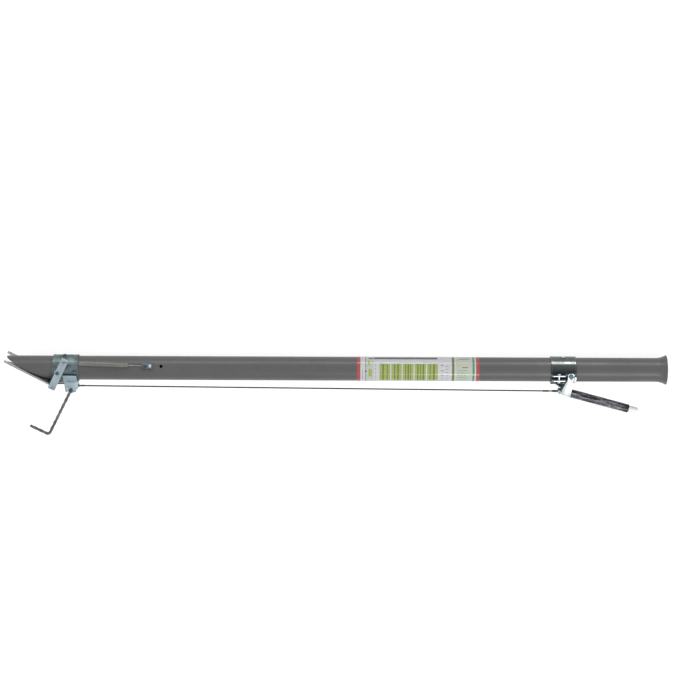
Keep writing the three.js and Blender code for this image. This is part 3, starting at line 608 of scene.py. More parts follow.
def resizeAt(value, middle=(0, 0, 0)):
    bpy.ops.transform.resize(value=value, center_override=middle)


def bevelEdges(width, segments):
    bpy.ops.mesh.bevel(offset=width * mm, segments=segments, affect="EDGES")


def bevelPicked(piece, kind, width, segments, wanted, local=False):
    startEdit(piece)
    pick(piece, kind, wanted, local)
    bevelEdges(width, segments)
    endEdit()


def deletePicked(piece, wanted):
    startEdit(piece)
    pick(piece, "faces", wanted)
    bpy.ops.mesh.delete(type="FACE")
    endEdit()


def addRod(name, middle, radius, length, axis="Z", sides=32, ends="NGON"):
    turn = {"X": (0, math.pi / 2, 0), "Y": (math.pi / 2, 0, 0), "Z": (0, 0, 0)}[axis]
    clearSelection()
    bpy.ops.mesh.primitive_cylinder_add(
        vertices=sides, radius=radius * mm, depth=length * mm, end_fill_type=ends,
        location=middle, rotation=turn,
    )
    return newPiece(name)


def addPipe(name, start, end, radius, sides=96):  # an open pipe along the tube
    return addRod(name, at((start + end) / 2), radius, end - start, "X", sides, "NOTHING")


def addBlock(name, middle, size, turn=0.0):  # turned about the hinges' direction, in degrees
    clearSelection()
    bpy.ops.mesh.primitive_cube_add(
        size=1, location=middle, rotation=(0, 0, math.radians(turn)), scale=[side * mm for side in size]
    )
    return newPiece(name)


def applyModifier(piece, kind, **settings):
    choose(piece)
    bpy.ops.object.modifier_add(type=kind)
    modifier = piece.modifiers[-1]
    for title, value in settings.items():
        setattr(modifier, title, value)
    bpy.ops.object.modifier_apply(modifier=modifier.name)
    return piece


def giveWall(piece, thickness, even=True):
    applyModifier(piece, "SOLIDIFY", thickness=thickness * mm, offset=-1, use_even_offset=even)


def smoothBy(piece, angle=35):
    choose(piece)
    bpy.ops.object.shade_smooth_by_angle(angle=math.radians(angle))
    return piece


def roundEdges(piece, width, segments=2, angle=35):
    applyModifier(
        piece, "BEVEL", width=width * mm, segments=segments,
        limit_method="ANGLE", angle_limit=math.radians(angle),
    )
    return smoothBy(piece, angle)


def carve(piece, *cutters, how="DIFFERENCE"):
    for cutter in cutters:
        applyModifier(piece, "BOOLEAN", object=cutter, operation=how, solver="EXACT")
        bpy.data.objects.remove(cutter)
    return piece


throughAll = 60  # a cutter this long passes right through the tool
topScrewHole = {"radius": 1.9, "length": 12, "axis": "Y"}


def drill(piece, place, radius, length=throughAll, axis="Z", sides=32):
    carve(piece, addRod("cutter", place, radius, length, axis, sides))


def weldTogether(piece, *others):
    clearSelection()
    for other in others:
        other.select_set(True)
    piece.select_set(True)
    bpy.context.view_layer.objects.active = piece
    bpy.ops.object.join()
    return piece


def tidyNormals(piece):
    startEdit(piece, action="SELECT")
    bpy.ops.mesh.remove_doubles(threshold=0.00001)
    bpy.ops.mesh.normals_make_consistent(inside=False)
    endEdit()
    return piece


def closeEnds(piece):  # fills every open loop, then turns the faces outwards
    startEdit(piece, "EDGE", "SELECT")
    bpy.ops.mesh.fill_holes(sides=0)
    endEdit()
    return tidyNormals(piece)


def placeTurned(piece, location, turn):
    piece.location = location
    piece.rotation_euler = turn
    return applyPlace(piece)


def layAlong(piece, start, way, axis=(1, 0, 0)):  # lays what was drawn along one axis on another way
    return placeTurned(piece, start, Vector(axis).rotation_difference(way).to_euler())


def copyTo(source, name, location, turn):
    piece = source.copy()
    piece.data = source.data.copy()
    piece.name = name
    bpy.context.collection.objects.link(piece)
    return placeTurned(piece, location, turn)


def refine(nodeName, name, edge):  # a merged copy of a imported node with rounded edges
    piece = bpy.data.objects.new(name, nodes[nodeName].data.copy())
    bpy.context.collection.objects.link(piece)
    startEdit(piece, action="SELECT")
    bpy.ops.mesh.remove_doubles(threshold=0.000005)
    bpy.ops.mesh.dissolve_limited(angle_limit=math.radians(0.8))
    endEdit()
    return roundEdges(piece, edge)


def paint(piece, finish):
    piece.data.materials.clear()
    piece.data.materials.append(finishes[finish])


def finishPiece(piece, body, finish, node):
    paint(piece, finish)
    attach(piece, body)
    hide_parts(node)


def degreesRound(place):  # round the tube from the near side upwards
    return math.degrees(math.atan2(place.y, place.z))


# the planting tube, and the plate that the closing spring hangs from
tubeValues = {
    "sides": 96, "radius": 19.0, "wall": 1.5, "crown": 1.0, "heel": 78.5, "mouth": 1042.7,
    "flare": 18.7, "flareRise": 4.8, "flareRings": 10, "flareCurve": 2.4, "edge": 0.35,
    "holes": ((82.5, 0.0, 2.8), (108.8, 1.0, 2.3), (891.2, -3.0, 2.8)),
    "topScrews": (92.8, 879.6), "spareHole": (245.5, 2.75, 30.0), "rivetHole": 1.8,
    "rings": (60, 100, 120, 212, 234, 239, 252, 340, 450, 553, 650, 748, 858, 901, 960, 1010),
}
anchorValues = {
    "start": 215.0, "length": 17.0, "width": 11.0, "angle": 30.0, "inner": 19.3, "outer": 21.1,
    "rivets": (221.5, 228.0), "rivetHole": 1.75, "corner": 1.6,
    "lug": 5.5, "lugSize": (2.0, 6.0), "lugSink": 0.6, "lugCorner": 2.2, "eye": 1.2, "eyeHeight": 2.6,
}


def outwards(along, angle, radius):  # a place at an angle round the tube, from the near side upwards
    turn = math.radians(angle)
    return at(along, radius * math.sin(turn), radius * math.cos(turn))


def radialCutter(along, angle, radius, middle=19.0, length=12.0):
    cutter = addRod("cutter", (0, 0, 0), radius, length, "Z", 28)
    return placeTurned(cutter, outwards(along, angle, middle), (-math.radians(angle), 0, 0))


def makeTube(values):
    crown, radius = values["crown"], values["radius"]
    flareStart = values["mouth"] - values["flare"]
    tube = addPipe("plantingTube", crown, flareStart, radius, values["sides"])
    startEdit(tube, "EDGE")
    cutAcross([at(along) for along in values["rings"]])
    pick(tube, "edges", lambda place, way: place.x > flareStart - 0.01)
    last = radius
    for i in range(1, values["flareRings"] + 1):
        share = i / values["flareRings"]
        wider = radius + values["flareRise"] * share ** values["flareCurve"]
        drawOut(values["flare"] / values["flareRings"])
        resizeAt((1, wider / last, wider / last), at(flareStart + values["flare"] * share))
        last = wider
    endEdit()
    giveWall(tube, values["wall"])
    roundEdges(tube, values["edge"], 2, 60)
    # the beak is cut off along a slope from its crown to its heel, by a block under the slope
    lean = math.atan2(2 * radius, values["heel"] - crown)
    half = 40.0
    cutMiddle = ((crown + values["heel"]) / 2 - half * math.sin(lean), -half * math.cos(lean))
    carve(tube, addBlock("cutter", at(*cutMiddle), (200, 2 * half, throughAll), -math.degrees(lean)))
    for along, up, hole in values["holes"]:
        drill(tube, at(along, up), hole)
    for along in values["topScrews"]:
        drill(tube, at(along, radius), **topScrewHole)
    along, hole, angle = values["spareHole"]
    carve(tube, radialCutter(along, angle, hole))
    for along in anchorValues["rivets"]:
        carve(tube, radialCutter(along, anchorValues["angle"], values["rivetHole"]))
    smoothBy(tube, 30)
    finishPiece(tube, "tube_body", "grey_steel", "tube")


makeTube(tubeValues)
print("tube done")


# the two collars
lowerBandValues = {
    "start": 74.3, "width": 40.0, "outer": 20.9, "thickness": 1.6, "rim": 0.45,
    "holes": ((82.5, 0.0, 2.8), (108.8, 1.0, 2.3)), "screw": 92.8,
}
upperBandValues = {
    "start": 859.6, "width": 40.0, "outer": 20.9, "thickness": 1.6, "rim": 0.35,
    "holes": ((891.2, -3.0, 2.8),), "screw": 879.6,
    "ears": (861.1, 882.6), "earThickness": 1.7, "earOuter": 27.9, "earCorner": 2.2,
    "upperEar": (0.5, 20.0), "lowerEar": (-7.5, 18.9),  # the top of each, and how near the axis it starts
    "clamp": (872.1, 24.8), "clampHole": 1.8,
    "endPad": (898.1, -7.8, 19.3), "padSize": (3.0, 12.4, 4.0),
}
beadValues = {"first": 1.0, "width": 1.4, "inset": 0.25, "screwRoom": 3}  # rolled near each end of a collar


def makeBand(name, values):
    start, end, screw = values["start"], values["start"] + values["width"], values["screw"]
    first, wide, room = beadValues["first"], beadValues["width"], beadValues["screwRoom"]
    band = addPipe(name, start, end, values["outer"])
    giveWall(band, values["thickness"])
    roundEdges(band, 0.3, 2, 50)
    startEdit(band)
    beads = [(start + first, start + first + wide), (end - first - wide, end - first)]
    cutAcross([at(along) for pair in (*beads, (screw - room, screw + room)) for along in pair])
    outside = values["outer"] - 0.3
    for low, high in beads:
        pick(band, "faces", lambda place, way: low < place.x < high and place.yz.length > outside)
        bpy.ops.mesh.inset(thickness=beadValues["inset"] * mm, depth=values["rim"] * mm)
    endEdit()
    for along, up, radius in values["holes"]:
        drill(band, at(along, up), radius)
    drill(band, at(screw, 20), **topScrewHole)
    return band


def makeEar(values, top, inner):
    (start, end), thickness, outer = values["ears"], values["earThickness"], values["earOuter"]
    middle = at((start + end) / 2, top - thickness / 2, (inner + outer) / 2)
    ear = addBlock("ear", middle, (end - start, thickness, outer - inner))
    bevelPicked(
        ear, "edges", values["earCorner"], 5, lambda place, way: abs(way.y) > 0.9 and place.z > outer - 0.1
    )
    return roundEdges(ear, 0.3)


def makeUpperBand(values):
    band = makeBand("upperBand", values)
    lower, width = values["lowerEar"][0], values["width"]
    under = values["upperEar"][0] - values["earThickness"]
    gap = at(values["start"] + width / 2, (under + lower) / 2, 20)
    carve(band, addBlock("cutter", gap, (width + 4, under - lower, 14)))
    ears = [makeEar(values, *values[ear]) for ear in ("upperEar", "lowerEar")]
    pad = roundEdges(addBlock("endPad", at(*values["endPad"]), values["padSize"]), 0.4)
    carve(band, *ears, pad, how="UNION")
    along, out = values["clamp"]
    drill(band, at(along, -3.5, out), values["clampHole"], 20, "Y", 24)
    return band


lowerBand = smoothBy(makeBand("lowerBand", lowerBandValues), 30)
finishPiece(lowerBand, "tube_body", "collarZinc", "lower_collar")
upperBand = smoothBy(makeUpperBand(upperBandValues), 30)
finishPiece(upperBand, "tube_body", "bright_zinc", "upper_collar")
print("collars done")


# one fastener of each kind is modelled standing on its seat, then copied
def addStem(shank, reach):
    stem = addRod("stem", (0, 0, (-reach / 2 + 0.2) * mm), shank, reach + 0.4, "Z", 28)
    return roundEdges(stem, 0.3, 1, 60)


def makeHexBolt(name, head, height, shank, reach):
    bolt = addRod(name, (0, 0, height / 2 * mm), head, height, "Z", 6)
    bevelPicked(bolt, "faces", 0.45, 2, lambda place, way: way.z > 0.9)
    roundEdges(bolt, 0.18)
    collar = addRod("washerFace", (0, 0, -0.1 * mm), head * 0.8, 0.3)
    return smoothBy(weldTogether(bolt, collar, addStem(shank, reach)), 30)


def makeRoundHead(name, head, height, shank, reach, slotted=False):
    screw = addRod(name, (0, 0, height / 2 * mm), head, height, "Z", 40)
    bevelPicked(screw, "faces", height * 0.75, 6, lambda place, way: way.z > 0.9)
    if slotted:
        carve(screw, addBlock("cutter", (0, 0, height * mm), (head * 2.4, 1.0, height), 35))
    return smoothBy(weldTogether(screw, addStem(shank, reach)), 30)


def makeHexNut(name, head, height, bore):
    nut = addRod(name, (0, 0, height / 2 * mm), head, height, "Z", 6)
    bevelPicked(nut, "faces", 0.35, 2, lambda place, way: abs(way.z) > 0.9)
    drill(nut, (0, 0, 0), bore, 12, sides=28)
    return roundEdges(nut, 0.15, 1)


slottedHead = {"head": 4.0, "height": 1.8, "shank": 2.4, "slotted": True}
fastenerKinds = {
    "collarBolt": (makeHexBolt, {"head": 3.55, "height": 2.5, "shank": 1.9, "reach": 3.5}),
    "jawBolt": (makeRoundHead, {"head": 2.7, "height": 1.5, "shank": 2.4, "reach": 7.8}),
    "triggerScrew": (makeRoundHead, {**slottedHead, "reach": 5.9}),
    "triggerScrewFar": (makeRoundHead, {**slottedHead, "reach": 8.7}),
    "domeScrew": (makeRoundHead, {"head": 2.95, "height": 1.9, "shank": 1.55, "reach": 3.2}),
    "rivetShape": (makeRoundHead, {"head": 2.55, "height": 1.4, "shank": 1.45, "reach": 3.4}),
    "pivotBolt": (makeHexBolt, {"head": 3.35, "height": 2.5, "shank": 1.95, "reach": 21.8}),
    "pivotNut": (makeHexNut, {"head": 3.55, "height": 2.6, "bore": 2.1}),
    "clampScrew": (makeHexBolt, {"head": 2.8, "height": 2.1, "shank": 1.45, "reach": 13.5}),
    "clampHex": (makeHexNut, {"head": 2.95, "height": 2.6, "bore": 1.6}),
}
facings = {
    "near": (0, 0, 0), "far": (math.pi, 0, 0), "up": (-math.pi / 2, 0, 0), "down": (math.pi / 2, 0, 0),
    "rivet": (-math.radians(anchorValues["angle"]), 0, 0),
}
rivetPlaces = [
    onTool(outwards(along, anchorValues["angle"], anchorValues["outer"] + 0.1))
    for along in anchorValues["rivets"]
]
# each fastener: its kind, its seat, the way its head faces, its finish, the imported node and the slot
fastenerPlaces = {
    "collarBoltNear": ("collarBolt", (108.8, 1.0, 21.2), "near", "collarZinc", "collar_bolt_near", "zinc"),
    "jawBoltNear": ("jawBolt", (82.5, 0.0, 25.5), "near", "pivotZinc", "jaw_pivot_bolt_near", "dark_steel"),
    "collarBoltFar": ("collarBolt", (108.8, 1.0, -21.2), "far", "collarZinc", "collar_bolt_far", "zinc"),
    "jawBoltFar": ("jawBolt", (82.5, 0.0, -25.5), "far", "pivotZinc", "jaw_pivot_bolt_far", "dark_steel"),
    "triggerScrewNear": (
        "triggerScrew", (891.2, -3.0, 23.6), "near", "pivotZinc", "trigger_screw_near", "dark_steel",
    ),
    "triggerScrewBack": (
        "triggerScrewFar", (891.2, -3.0, -26.4), "far", "dark_steel", "trigger_screw_far", "dark_steel",
    ),
    "lowerDomeScrew": ("domeScrew", (92.8, 21.0), "up", "collarZinc", "lower_collar_screw", "zinc"),
    "upperDomeScrew": ("domeScrew", (879.6, 21.0), "up", "bright_zinc", "upper_collar_screw", "zinc"),
    "anchorRivet1": ("rivetShape", rivetPlaces[0], "rivet", "dark_steel", "anchor_rivet_1", "zinc"),
    "anchorRivet2": ("rivetShape", rivetPlaces[1], "rivet", "plateZinc", "anchor_rivet_2", "zinc"),
    "footPivotBolt": ("pivotBolt", (100.5, -35.9, 9.5), "near", "barSteel", "foot_pivot_bolt", "zinc"),
    "footPivotNut": ("pivotNut", (100.5, -35.9, -9.5), "far", "zinc", "foot_pivot_nut", "zinc"),
    "clampBolt": ("clampScrew", (872.1, 0.8, 24.8), "up", "bright_zinc", "clamp_bolt", "zinc"),
    "clampNut": ("clampHex", (872.1, -9.5, 24.8), "down", "bright_zinc", "clamp_nut", "zinc"),
}


def placeFasteners(kinds, places):
    shapes = {kind: makeKind(kind, **values) for kind, (makeKind, values) in kinds.items()}
    for name, (kind, place, facing, finish, node, slot) in places.items():
        piece = copyTo(shapes[kind], name, at(*place), facings[facing])
        finishPiece(piece, "tube_body", finish, node)
    for shape in shapes.values():
        bpy.data.objects.remove(shape)


placeFasteners(fastenerKinds, fastenerPlaces)
print("fasteners done")


# the jaw with its arms
armValues = {
    "top": (96.2, 23.4), "foot": (71.6, -27.0), "farTop": 7.0, "width": 11.5, "thickness": 3.0,
    "inner": 22.2, "corner": 1.8, "holes": ((82.5, 0.0, 2.75), (73.5, -25.5, 2.2), (93.2, 18.6, 2.0)),
}


def makeArm(word, side, values):
    top, foot, farTop = Vector(values["top"]), Vector(values["foot"]), values["farTop"]
    if side < 0:
        top = foot + (top - foot) * (farTop - foot.y) / (top.y - foot.y)
    middle = (top + foot) / 2
    way = foot - top
    out = side * (values["inner"] + values["thickness"] / 2)
    turn = math.degrees(math.atan2(way.y, way.x))
    size = (way.length, values["width"], values["thickness"])
    arm = addBlock(f"jawArm{word}", at(middle.x, middle.y, out), size, turn)
    bevelPicked(arm, "edges", values["corner"], 6, lambda place, way: abs(way.z) > 0.9)
    for along, up, radius in values["holes"]:
        if side > 0 or up <= farTop:
            drill(arm, at(along, up, out), radius, 8, sides=36)
    roundEdges(arm, 0.35, 3)
    finishPiece(arm, "jaw_body", "zinc", f"jaw_arm_{word.lower()}")


jawValues = {
    "length": 81.9, "slope": 29.22, "crown": 20.0, "half": 21.8, "thickness": 2.6, "seam": 40,
    "tooth": 9.5, "toothTip": 19.3, "toothHalf": 2.3, "toothThin": 0.82, "root": 14.3,
    "notch": 13.5, "notchHalf": 11.3, "flange": 5.0, "bend": (-0.3, -0.9),
    "weld": 1.1, "ripples": 7, "weldFrom": (-6.5, 4.3), "weldTo": (0.4, -1.0), "weldOut": 0.1,
}


def makeWeld(start, end, radius, ripples):  # a rippled bead from one place to another
    way = end - start
    step = way.length / ripples / mm
    weld = addRod("bead", (0, 0, 0), radius * 0.6, 0.2, "Z", 12)
    startEdit(weld)
    pick(weld, "faces", lambda place, facing: facing.z > 0.9)
    size = 0.6
    for share, lift in ((1.0, 0.35), (1.06, 0.35), (0.86, 0.3)) * ripples:
        drawOut(out=step * lift)
        ratio = share / size
        resizeAt((ratio, ratio, 1))
        size = share
    resizeAt((0.6, 0.6, 1))
    endEdit()
    return smoothBy(layAlong(weld, start, way, (0, 0, 1)), 60)


def makeJaw(values):
    # drawn flat along the tool with its inner face up, then leaned about the teeth's edge
    half, thick, rear, tooth = values["half"], values["thickness"], values["length"], values["tooth"]
    root, notchHalf, flangeLong = values["root"], values["notchHalf"], values["flange"]
    plate = addBlock("jawPlate", at((tooth + rear) / 2, -thick / 2), (rear - tooth, thick, 2 * half))
    startEdit(plate)
    cutAcross([at(0, 0, out) for out in (-root, -notchHalf, notchHalf, root)], (0, 0, 1))
    cutAcross([at(values["seam"])])
    for side in (-1, 1):  # each tooth is drawn out of the front edge and narrowed to its tip
        pick(plate, "faces", lambda place, way: way.x < -0.9 and side * place.z > root)
        drawOut(-tooth)
        narrow = 2 * values["toothHalf"] / (half - root)
        middle = side * (half + root) / 2
        resizeAt((1, values["toothThin"], narrow), at(0, -thick, middle))
        bpy.ops.transform.translate(value=(0, 0, (side * values["toothTip"] - middle) * mm))
    pick(plate, "verts", lambda place, way: abs(place.x - tooth) < 0.1 and abs(place.z) < notchHalf + 0.1)
    bpy.ops.transform.translate(value=((values["notch"] - tooth) * mm, 0, 0))
    bpy.ops.mesh.select_all(action="SELECT")
    bpy.ops.transform.translate(value=-at())
    endEdit()
    lean = math.radians(values["slope"])
    placeTurned(plate, at(0, values["crown"]), (0, 0, -lean))
    # the flange behind the plate follows the arms
    arm = (Vector(armValues["foot"]) - Vector(armValues["top"])).normalized()
    bend = Vector((rear * math.cos(lean), values["crown"] - rear * math.sin(lean))) + Vector(values["bend"])
    middle = bend + arm * flangeLong * 0.44 + Vector((arm.y, -arm.x)) * thick / 2
    turn = math.degrees(math.atan2(arm.y, arm.x))
    carve(plate, addBlock("flange", at(*middle), (flangeLong + 0.6, thick, 2 * half), turn), how="UNION")
    roundEdges(plate, 0.35, 2, 32)
    for side in (-1, 1):
        out = side * (half + values["weldOut"])
        start, end = (at(*(bend + Vector(values[part])), out) for part in ("weldFrom", "weldTo"))
        weldTogether(plate, makeWeld(start, end, values["weld"], values["ripples"]))
    finishPiece(plate, "jaw_body", "jawZinc", "moving_jaw")


for armWord, armSide in (("Near", 1), ("Far", -1)):
    makeArm(armWord, armSide, armValues)
makeJaw(jawValues)

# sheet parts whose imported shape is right: a merged copy of each gets rounded edges
sheetParts = {
    "jawWasherNear": ("jaw_washer_near", "tube_body", "zinc", "zinc", 0.2),
    "jawWasherFar": ("jaw_washer_far", "tube_body", "zinc", "zinc", 0.2),
    "outerLinkPin": ("outer_link_pin", "jaw_body", "zinc", "zinc", 0.25),
    "linkStrapNear": ("link_strap_near", "link_body", "dark_steel", "zinc", 0.25),
    "linkStrapFar": ("link_strap_far", "link_body", "dark_steel", "zinc", 0.25),
    "forkPin": ("fork_pin", "link_body", "zinc", "zinc", 0.25),
    "footBracket": ("pedal_bracket", "tube_body", "zinc", "zinc", 0.35),
    "footHub": ("pedal_hub", "pedal_body", "hubZinc", "bright_zinc", 0.35),
    "latchBolt": ("latch_bolt", "wire_body", "dark_steel", "zinc", 0.2),
    "wireEye": ("wire_eye", "wire_body", "dark_steel", "zinc", 0.25),
    "wirePin": ("wire_pin", "trigger_body", "zinc", "zinc", 0.25),
    "triggerStirrup": ("trigger_stirrup", "trigger_body", "plateZinc", "bright_zinc", 0.4),
    "triggerHandle": ("trigger_handle", "trigger_body", "zinc", "bright_zinc", 0.35),
    "triggerStop": ("trigger_stop", "tube_body", "pivotZinc", "dark_steel", 0.3),
}
boltTail = {"start": 113.2, "shoulder": 0.6, "middle": -30.89, "thinner": 0.66}


def slimTail(bolt, values):  # the latch bolt is turned down where the wire is crimped into it
    start, shoulder, thinner = values["start"], values["shoulder"], values["thinner"]
    startEdit(bolt, "VERT")
    cutAcross([at(start), at(start + shoulder)])
    edge = start + shoulder / 2
    pick(bolt, "verts", lambda place, way: place.x > edge)
    resizeAt((1, thinner, thinner), at(edge, values["middle"]))
    endEdit()


for pieceName, (nodeName, bodyName, finishName, slotName, edge) in sheetParts.items():
    piece = refine(nodeName, pieceName, edge)
    if pieceName == "latchBolt":
        slimTail(piece, boltTail)
    finishPiece(piece, bodyName, finishName, nodeName)
print("jaw, links, bracket and trigger plates done")


# the foot bar: a square rod twisted cold and bent once
footBarValues = {
    "root": (98.14, -41.32), "corner": (60.8, -116.0), "toe": (31.4, -100.6), "bend": 5.0,
    "side": 3.8, "round": 0.45, "lay": 43.6, "steps": 120,
}


def roundedPath(start, corner, end, reach, steps=10):
    into = corner + (start - corner).normalized() * reach
    out = corner + (end - corner).normalized() * reach
    places = [start]
    for i in range(steps + 1):
        share = i / steps
        places.append(into.lerp(corner, share).lerp(corner.lerp(out, share), share))
    return [*places, end]


def makePath(name, places):
    curve = bpy.data.curves.new(name, "CURVE")
    curve.dimensions = "3D"
    spline = curve.splines.new("POLY")
    spline.points.add(len(places) - 1)
    for point, place in zip(spline.points, places):
        point.co = (*place, 1)
    path = bpy.data.objects.new(name, curve)
    bpy.context.collection.objects.link(path)
    return path


def twistedRod(name, section, length, lay, steps):  # the section wound along the tool's way from the origin
    choose(section)
    section.name = name
    applyModifier(
        section, "SCREW", axis="X", angle=2 * math.pi * length / lay, screw_offset=length * mm,
        steps=steps, render_steps=steps, use_smooth_shade=True,
    )
    return closeEnds(section)


def makeFootBar(values):
    corners = [at(*values[part]) for part in ("root", "corner", "toe")]
    places = roundedPath(*corners, values["bend"] * mm)
    length = sum((b - a).length for a, b in zip(places, places[1:])) / mm
    clearSelection()
    bpy.ops.mesh.primitive_plane_add(size=values["side"] * mm, rotation=(0, math.pi / 2, 0))
    section = applyPlace(bpy.context.object)
    startEdit(section, "VERT", "SELECT")
    bpy.ops.mesh.bevel(offset=values["round"] * mm, segments=3, affect="VERTICES")
    bpy.ops.mesh.delete(type="ONLY_FACE")
    endEdit()
    bar = twistedRod("footBar", section, length, values["lay"], values["steps"])
    path = makePath("barPath", places)
    applyModifier(bar, "CURVE", object=path, deform_axis="POS_X")
    bpy.data.objects.remove(path)
    smoothBy(bar, 50)
    finishPiece(bar, "pedal_body", "barSteel", "foot_bar")


makeFootBar(footBarValues)


# the springs
springShape = {
    "from": (93.2, 18.6, 26.1), "to": (218.0, 11.85, 20.52), "coil": (118.0, 194.0),
    "radius": 2.9, "wire": 0.55, "turns": 54, "perTurn": 18,
    # at each end the wire moves down from the coil to its axis, runs straight, and ends in a hook
    "lowerLead": [(-0.5, 0, -0.1), (-0.6, 0, -0.9), (-0.5, 0, -1.2), (-0.3, 0, -0.7)],
    "lowerHook": [(-1.3, 0, -0.15), (-1.0, 0, -0.6), (-0.6, 0, -1.2), (-0.1, 0, -1.6), (0.2, 0, -1.4)],
    "upperLead": [(0.5, 0, -0.1), (0.6, 0, -0.9), (0.5, 0, -1.2), (0.3, 0, -0.7)],
    "upperHook": [(0.9, 0, 0.1), (0.6, 0, 0.5), (0.35, 0, 0.9), (0.05, 0, 1.1)],
    "lowerEnds": 4.8, "upperEnds": 3.0,  # what the moves and the hook take of each straight run
    "still": (117.0, 17.3, 25.0), "moving": (96.5, 18.4, 26.0),  # one place that stays still and one that moves with the jaw
}


def startHelix(name, first, pitch, values):  # a line wound round the tool's way, from one point
    clearSelection()
    bpy.ops.mesh.primitive_plane_add(size=0.001, location=(first * mm, 0, values["radius"] * mm))
    helix = newPiece(name)
    startEdit(helix, "VERT", "SELECT")
    bpy.ops.mesh.merge(type="CENTER")
    endEdit()
    return applyModifier(
        helix, "SCREW", axis="X", angle=2 * math.pi, screw_offset=pitch * mm, iterations=values["turns"],
        steps=values["perTurn"], render_steps=values["perTurn"], use_merge_vertices=False,
    )


def drawOn(helix, atEnd, moves):  # leads the wire on from its last or first point by short moves
    startEdit(helix, "VERT")
    mesh = bmesh.from_edit_mesh(helix.data)
    ends = [vert for vert in mesh.verts if len(vert.link_edges) == 1]
    (max if atEnd else min)(ends, key=lambda vert: vert.co.x).select_set(True)
    bmesh.update_edit_mesh(helix.data)
    for move in moves:
        drawOut(*move)
    endEdit()


def thickenLine(piece, radius, rounds=2):
    choose(piece)
    bpy.ops.object.convert(target="CURVE")
    piece.data.bevel_depth = radius * mm
    piece.data.bevel_resolution = rounds
    piece.data.use_fill_caps = True
    bpy.ops.object.convert(target="MESH")
    return smoothBy(tidyNormals(bpy.context.object), 60)


def makeClosingSpring(values):
    start, end = at(*values["from"]), at(*values["to"])
    way = end - start
    share = way.length / (end.x - start.x)
    first, last = ((edge - values["from"][0]) * share for edge in values["coil"])
    spring = startHelix("closingSpring", first, (last - first) / values["turns"], values)
    run = first - values["lowerEnds"]
    drawOn(spring, False, [*values["lowerLead"], (-run, 0, 0), *values["lowerHook"]])
    run = way.length / mm - last - values["upperEnds"]
    drawOn(spring, True, [*values["upperLead"], (run, 0, 0), *values["upperHook"]])
    spring = layAlong(thickenLine(spring, values["wire"]), start, way)
    paint(spring, "spring_steel")
    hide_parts("jaw_spring")
    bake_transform(spring)


makeClosingSpring(springShape)

returnSpringValues = {
    "place": (891.2, -3.0, -24.95), "radius": 4.0, "wire": 0.42, "turns": 3, "pitch": 0.9, "perTurn": 24,
    "leg": [(0, -2.5, 0), (0, -4.5, 0), (0, -5.5, 0)], "end": [(0, 2.2, 0), (0, 2.2, 0)],
}


def makeReturnSpring(values):  # wound round the far screw, with a leg down to the web
    spring = startHelix("returnSpring", -values["turns"] * values["pitch"] / 2, values["pitch"], values)
    drawOn(spring, False, values["leg"])
    drawOn(spring, True, values["end"])
    spring = thickenLine(spring, values["wire"])
    placeTurned(spring, at(*values["place"]), (0, -math.pi / 2, 0))  # its axis turned to the hinge's
    finishPiece(spring, "tube_body", "spring_steel", "trigger_spring")


makeReturnSpring(returnSpringValues)


def makeAnchor(values):  # a curved plate with a lug standing at its lower end
    inner, outer, angle = values["inner"], values["outer"], values["angle"]
    start, lugHeight, sink = values["start"], values["lug"], values["lugSink"]
    anchor = addPipe("springAnchor", start, start + values["length"], outer)
    half = math.degrees(math.asin(values["width"] / 2 / outer))
    deletePicked(anchor, lambda place, way: abs(degreesRound(place) - angle) > half)
    giveWall(anchor, outer - inner)
    # the plate's four corners: short edges that cross its wall at its two sides
    bevelPicked(anchor, "edges", values["corner"], 4, lambda place, way: (
        way.yz.length > 0.9
        and abs(abs(degreesRound(place) - angle) - half) < 4
        and abs(place.yz.length - (inner + outer) / 2) < 0.4
    ))
    lug = addBlock("lug", (0, 0, 0), (*values["lugSize"], lugHeight + 2 * sink))
    bevelPicked(
        lug, "edges", values["lugCorner"], 5,
        lambda place, way: abs(way.x) > 0.9 and place.z > 0, local=True,
    )
    seat = outwards(start + 1.0, angle, outer + lugHeight / 2 - sink)
    carve(anchor, placeTurned(lug, seat, (-math.radians(angle), 0, 0)), how="UNION")
    drill(anchor, outwards(start + 1, angle, outer + values["eyeHeight"]), values["eye"], 8, "X", 28)
    for along in values["rivets"]:
        carve(anchor, radialCutter(along, angle, values["rivetHole"], 20.0))
    roundEdges(anchor, 0.3, 2, 40)
    finishPiece(anchor, "tube_body", "anchorZinc", "spring_anchor")


makeAnchor(anchorValues)
print("springs and anchor done")


# the pull wire
pullWireValues = {
    "low": (117.0, -30.9), "high": (870.5, -37.0), "radius": 1.16, "strands": 7, "groove": 0.76,
    "lay": 13.0, "perTurn": 10,
    "crimp": (850.0, 858.5), "crimpRadius": 1.6, "pressed": ((0.2, 0.36), (0.64, 0.8)), "pressDepth": 0.25,
}


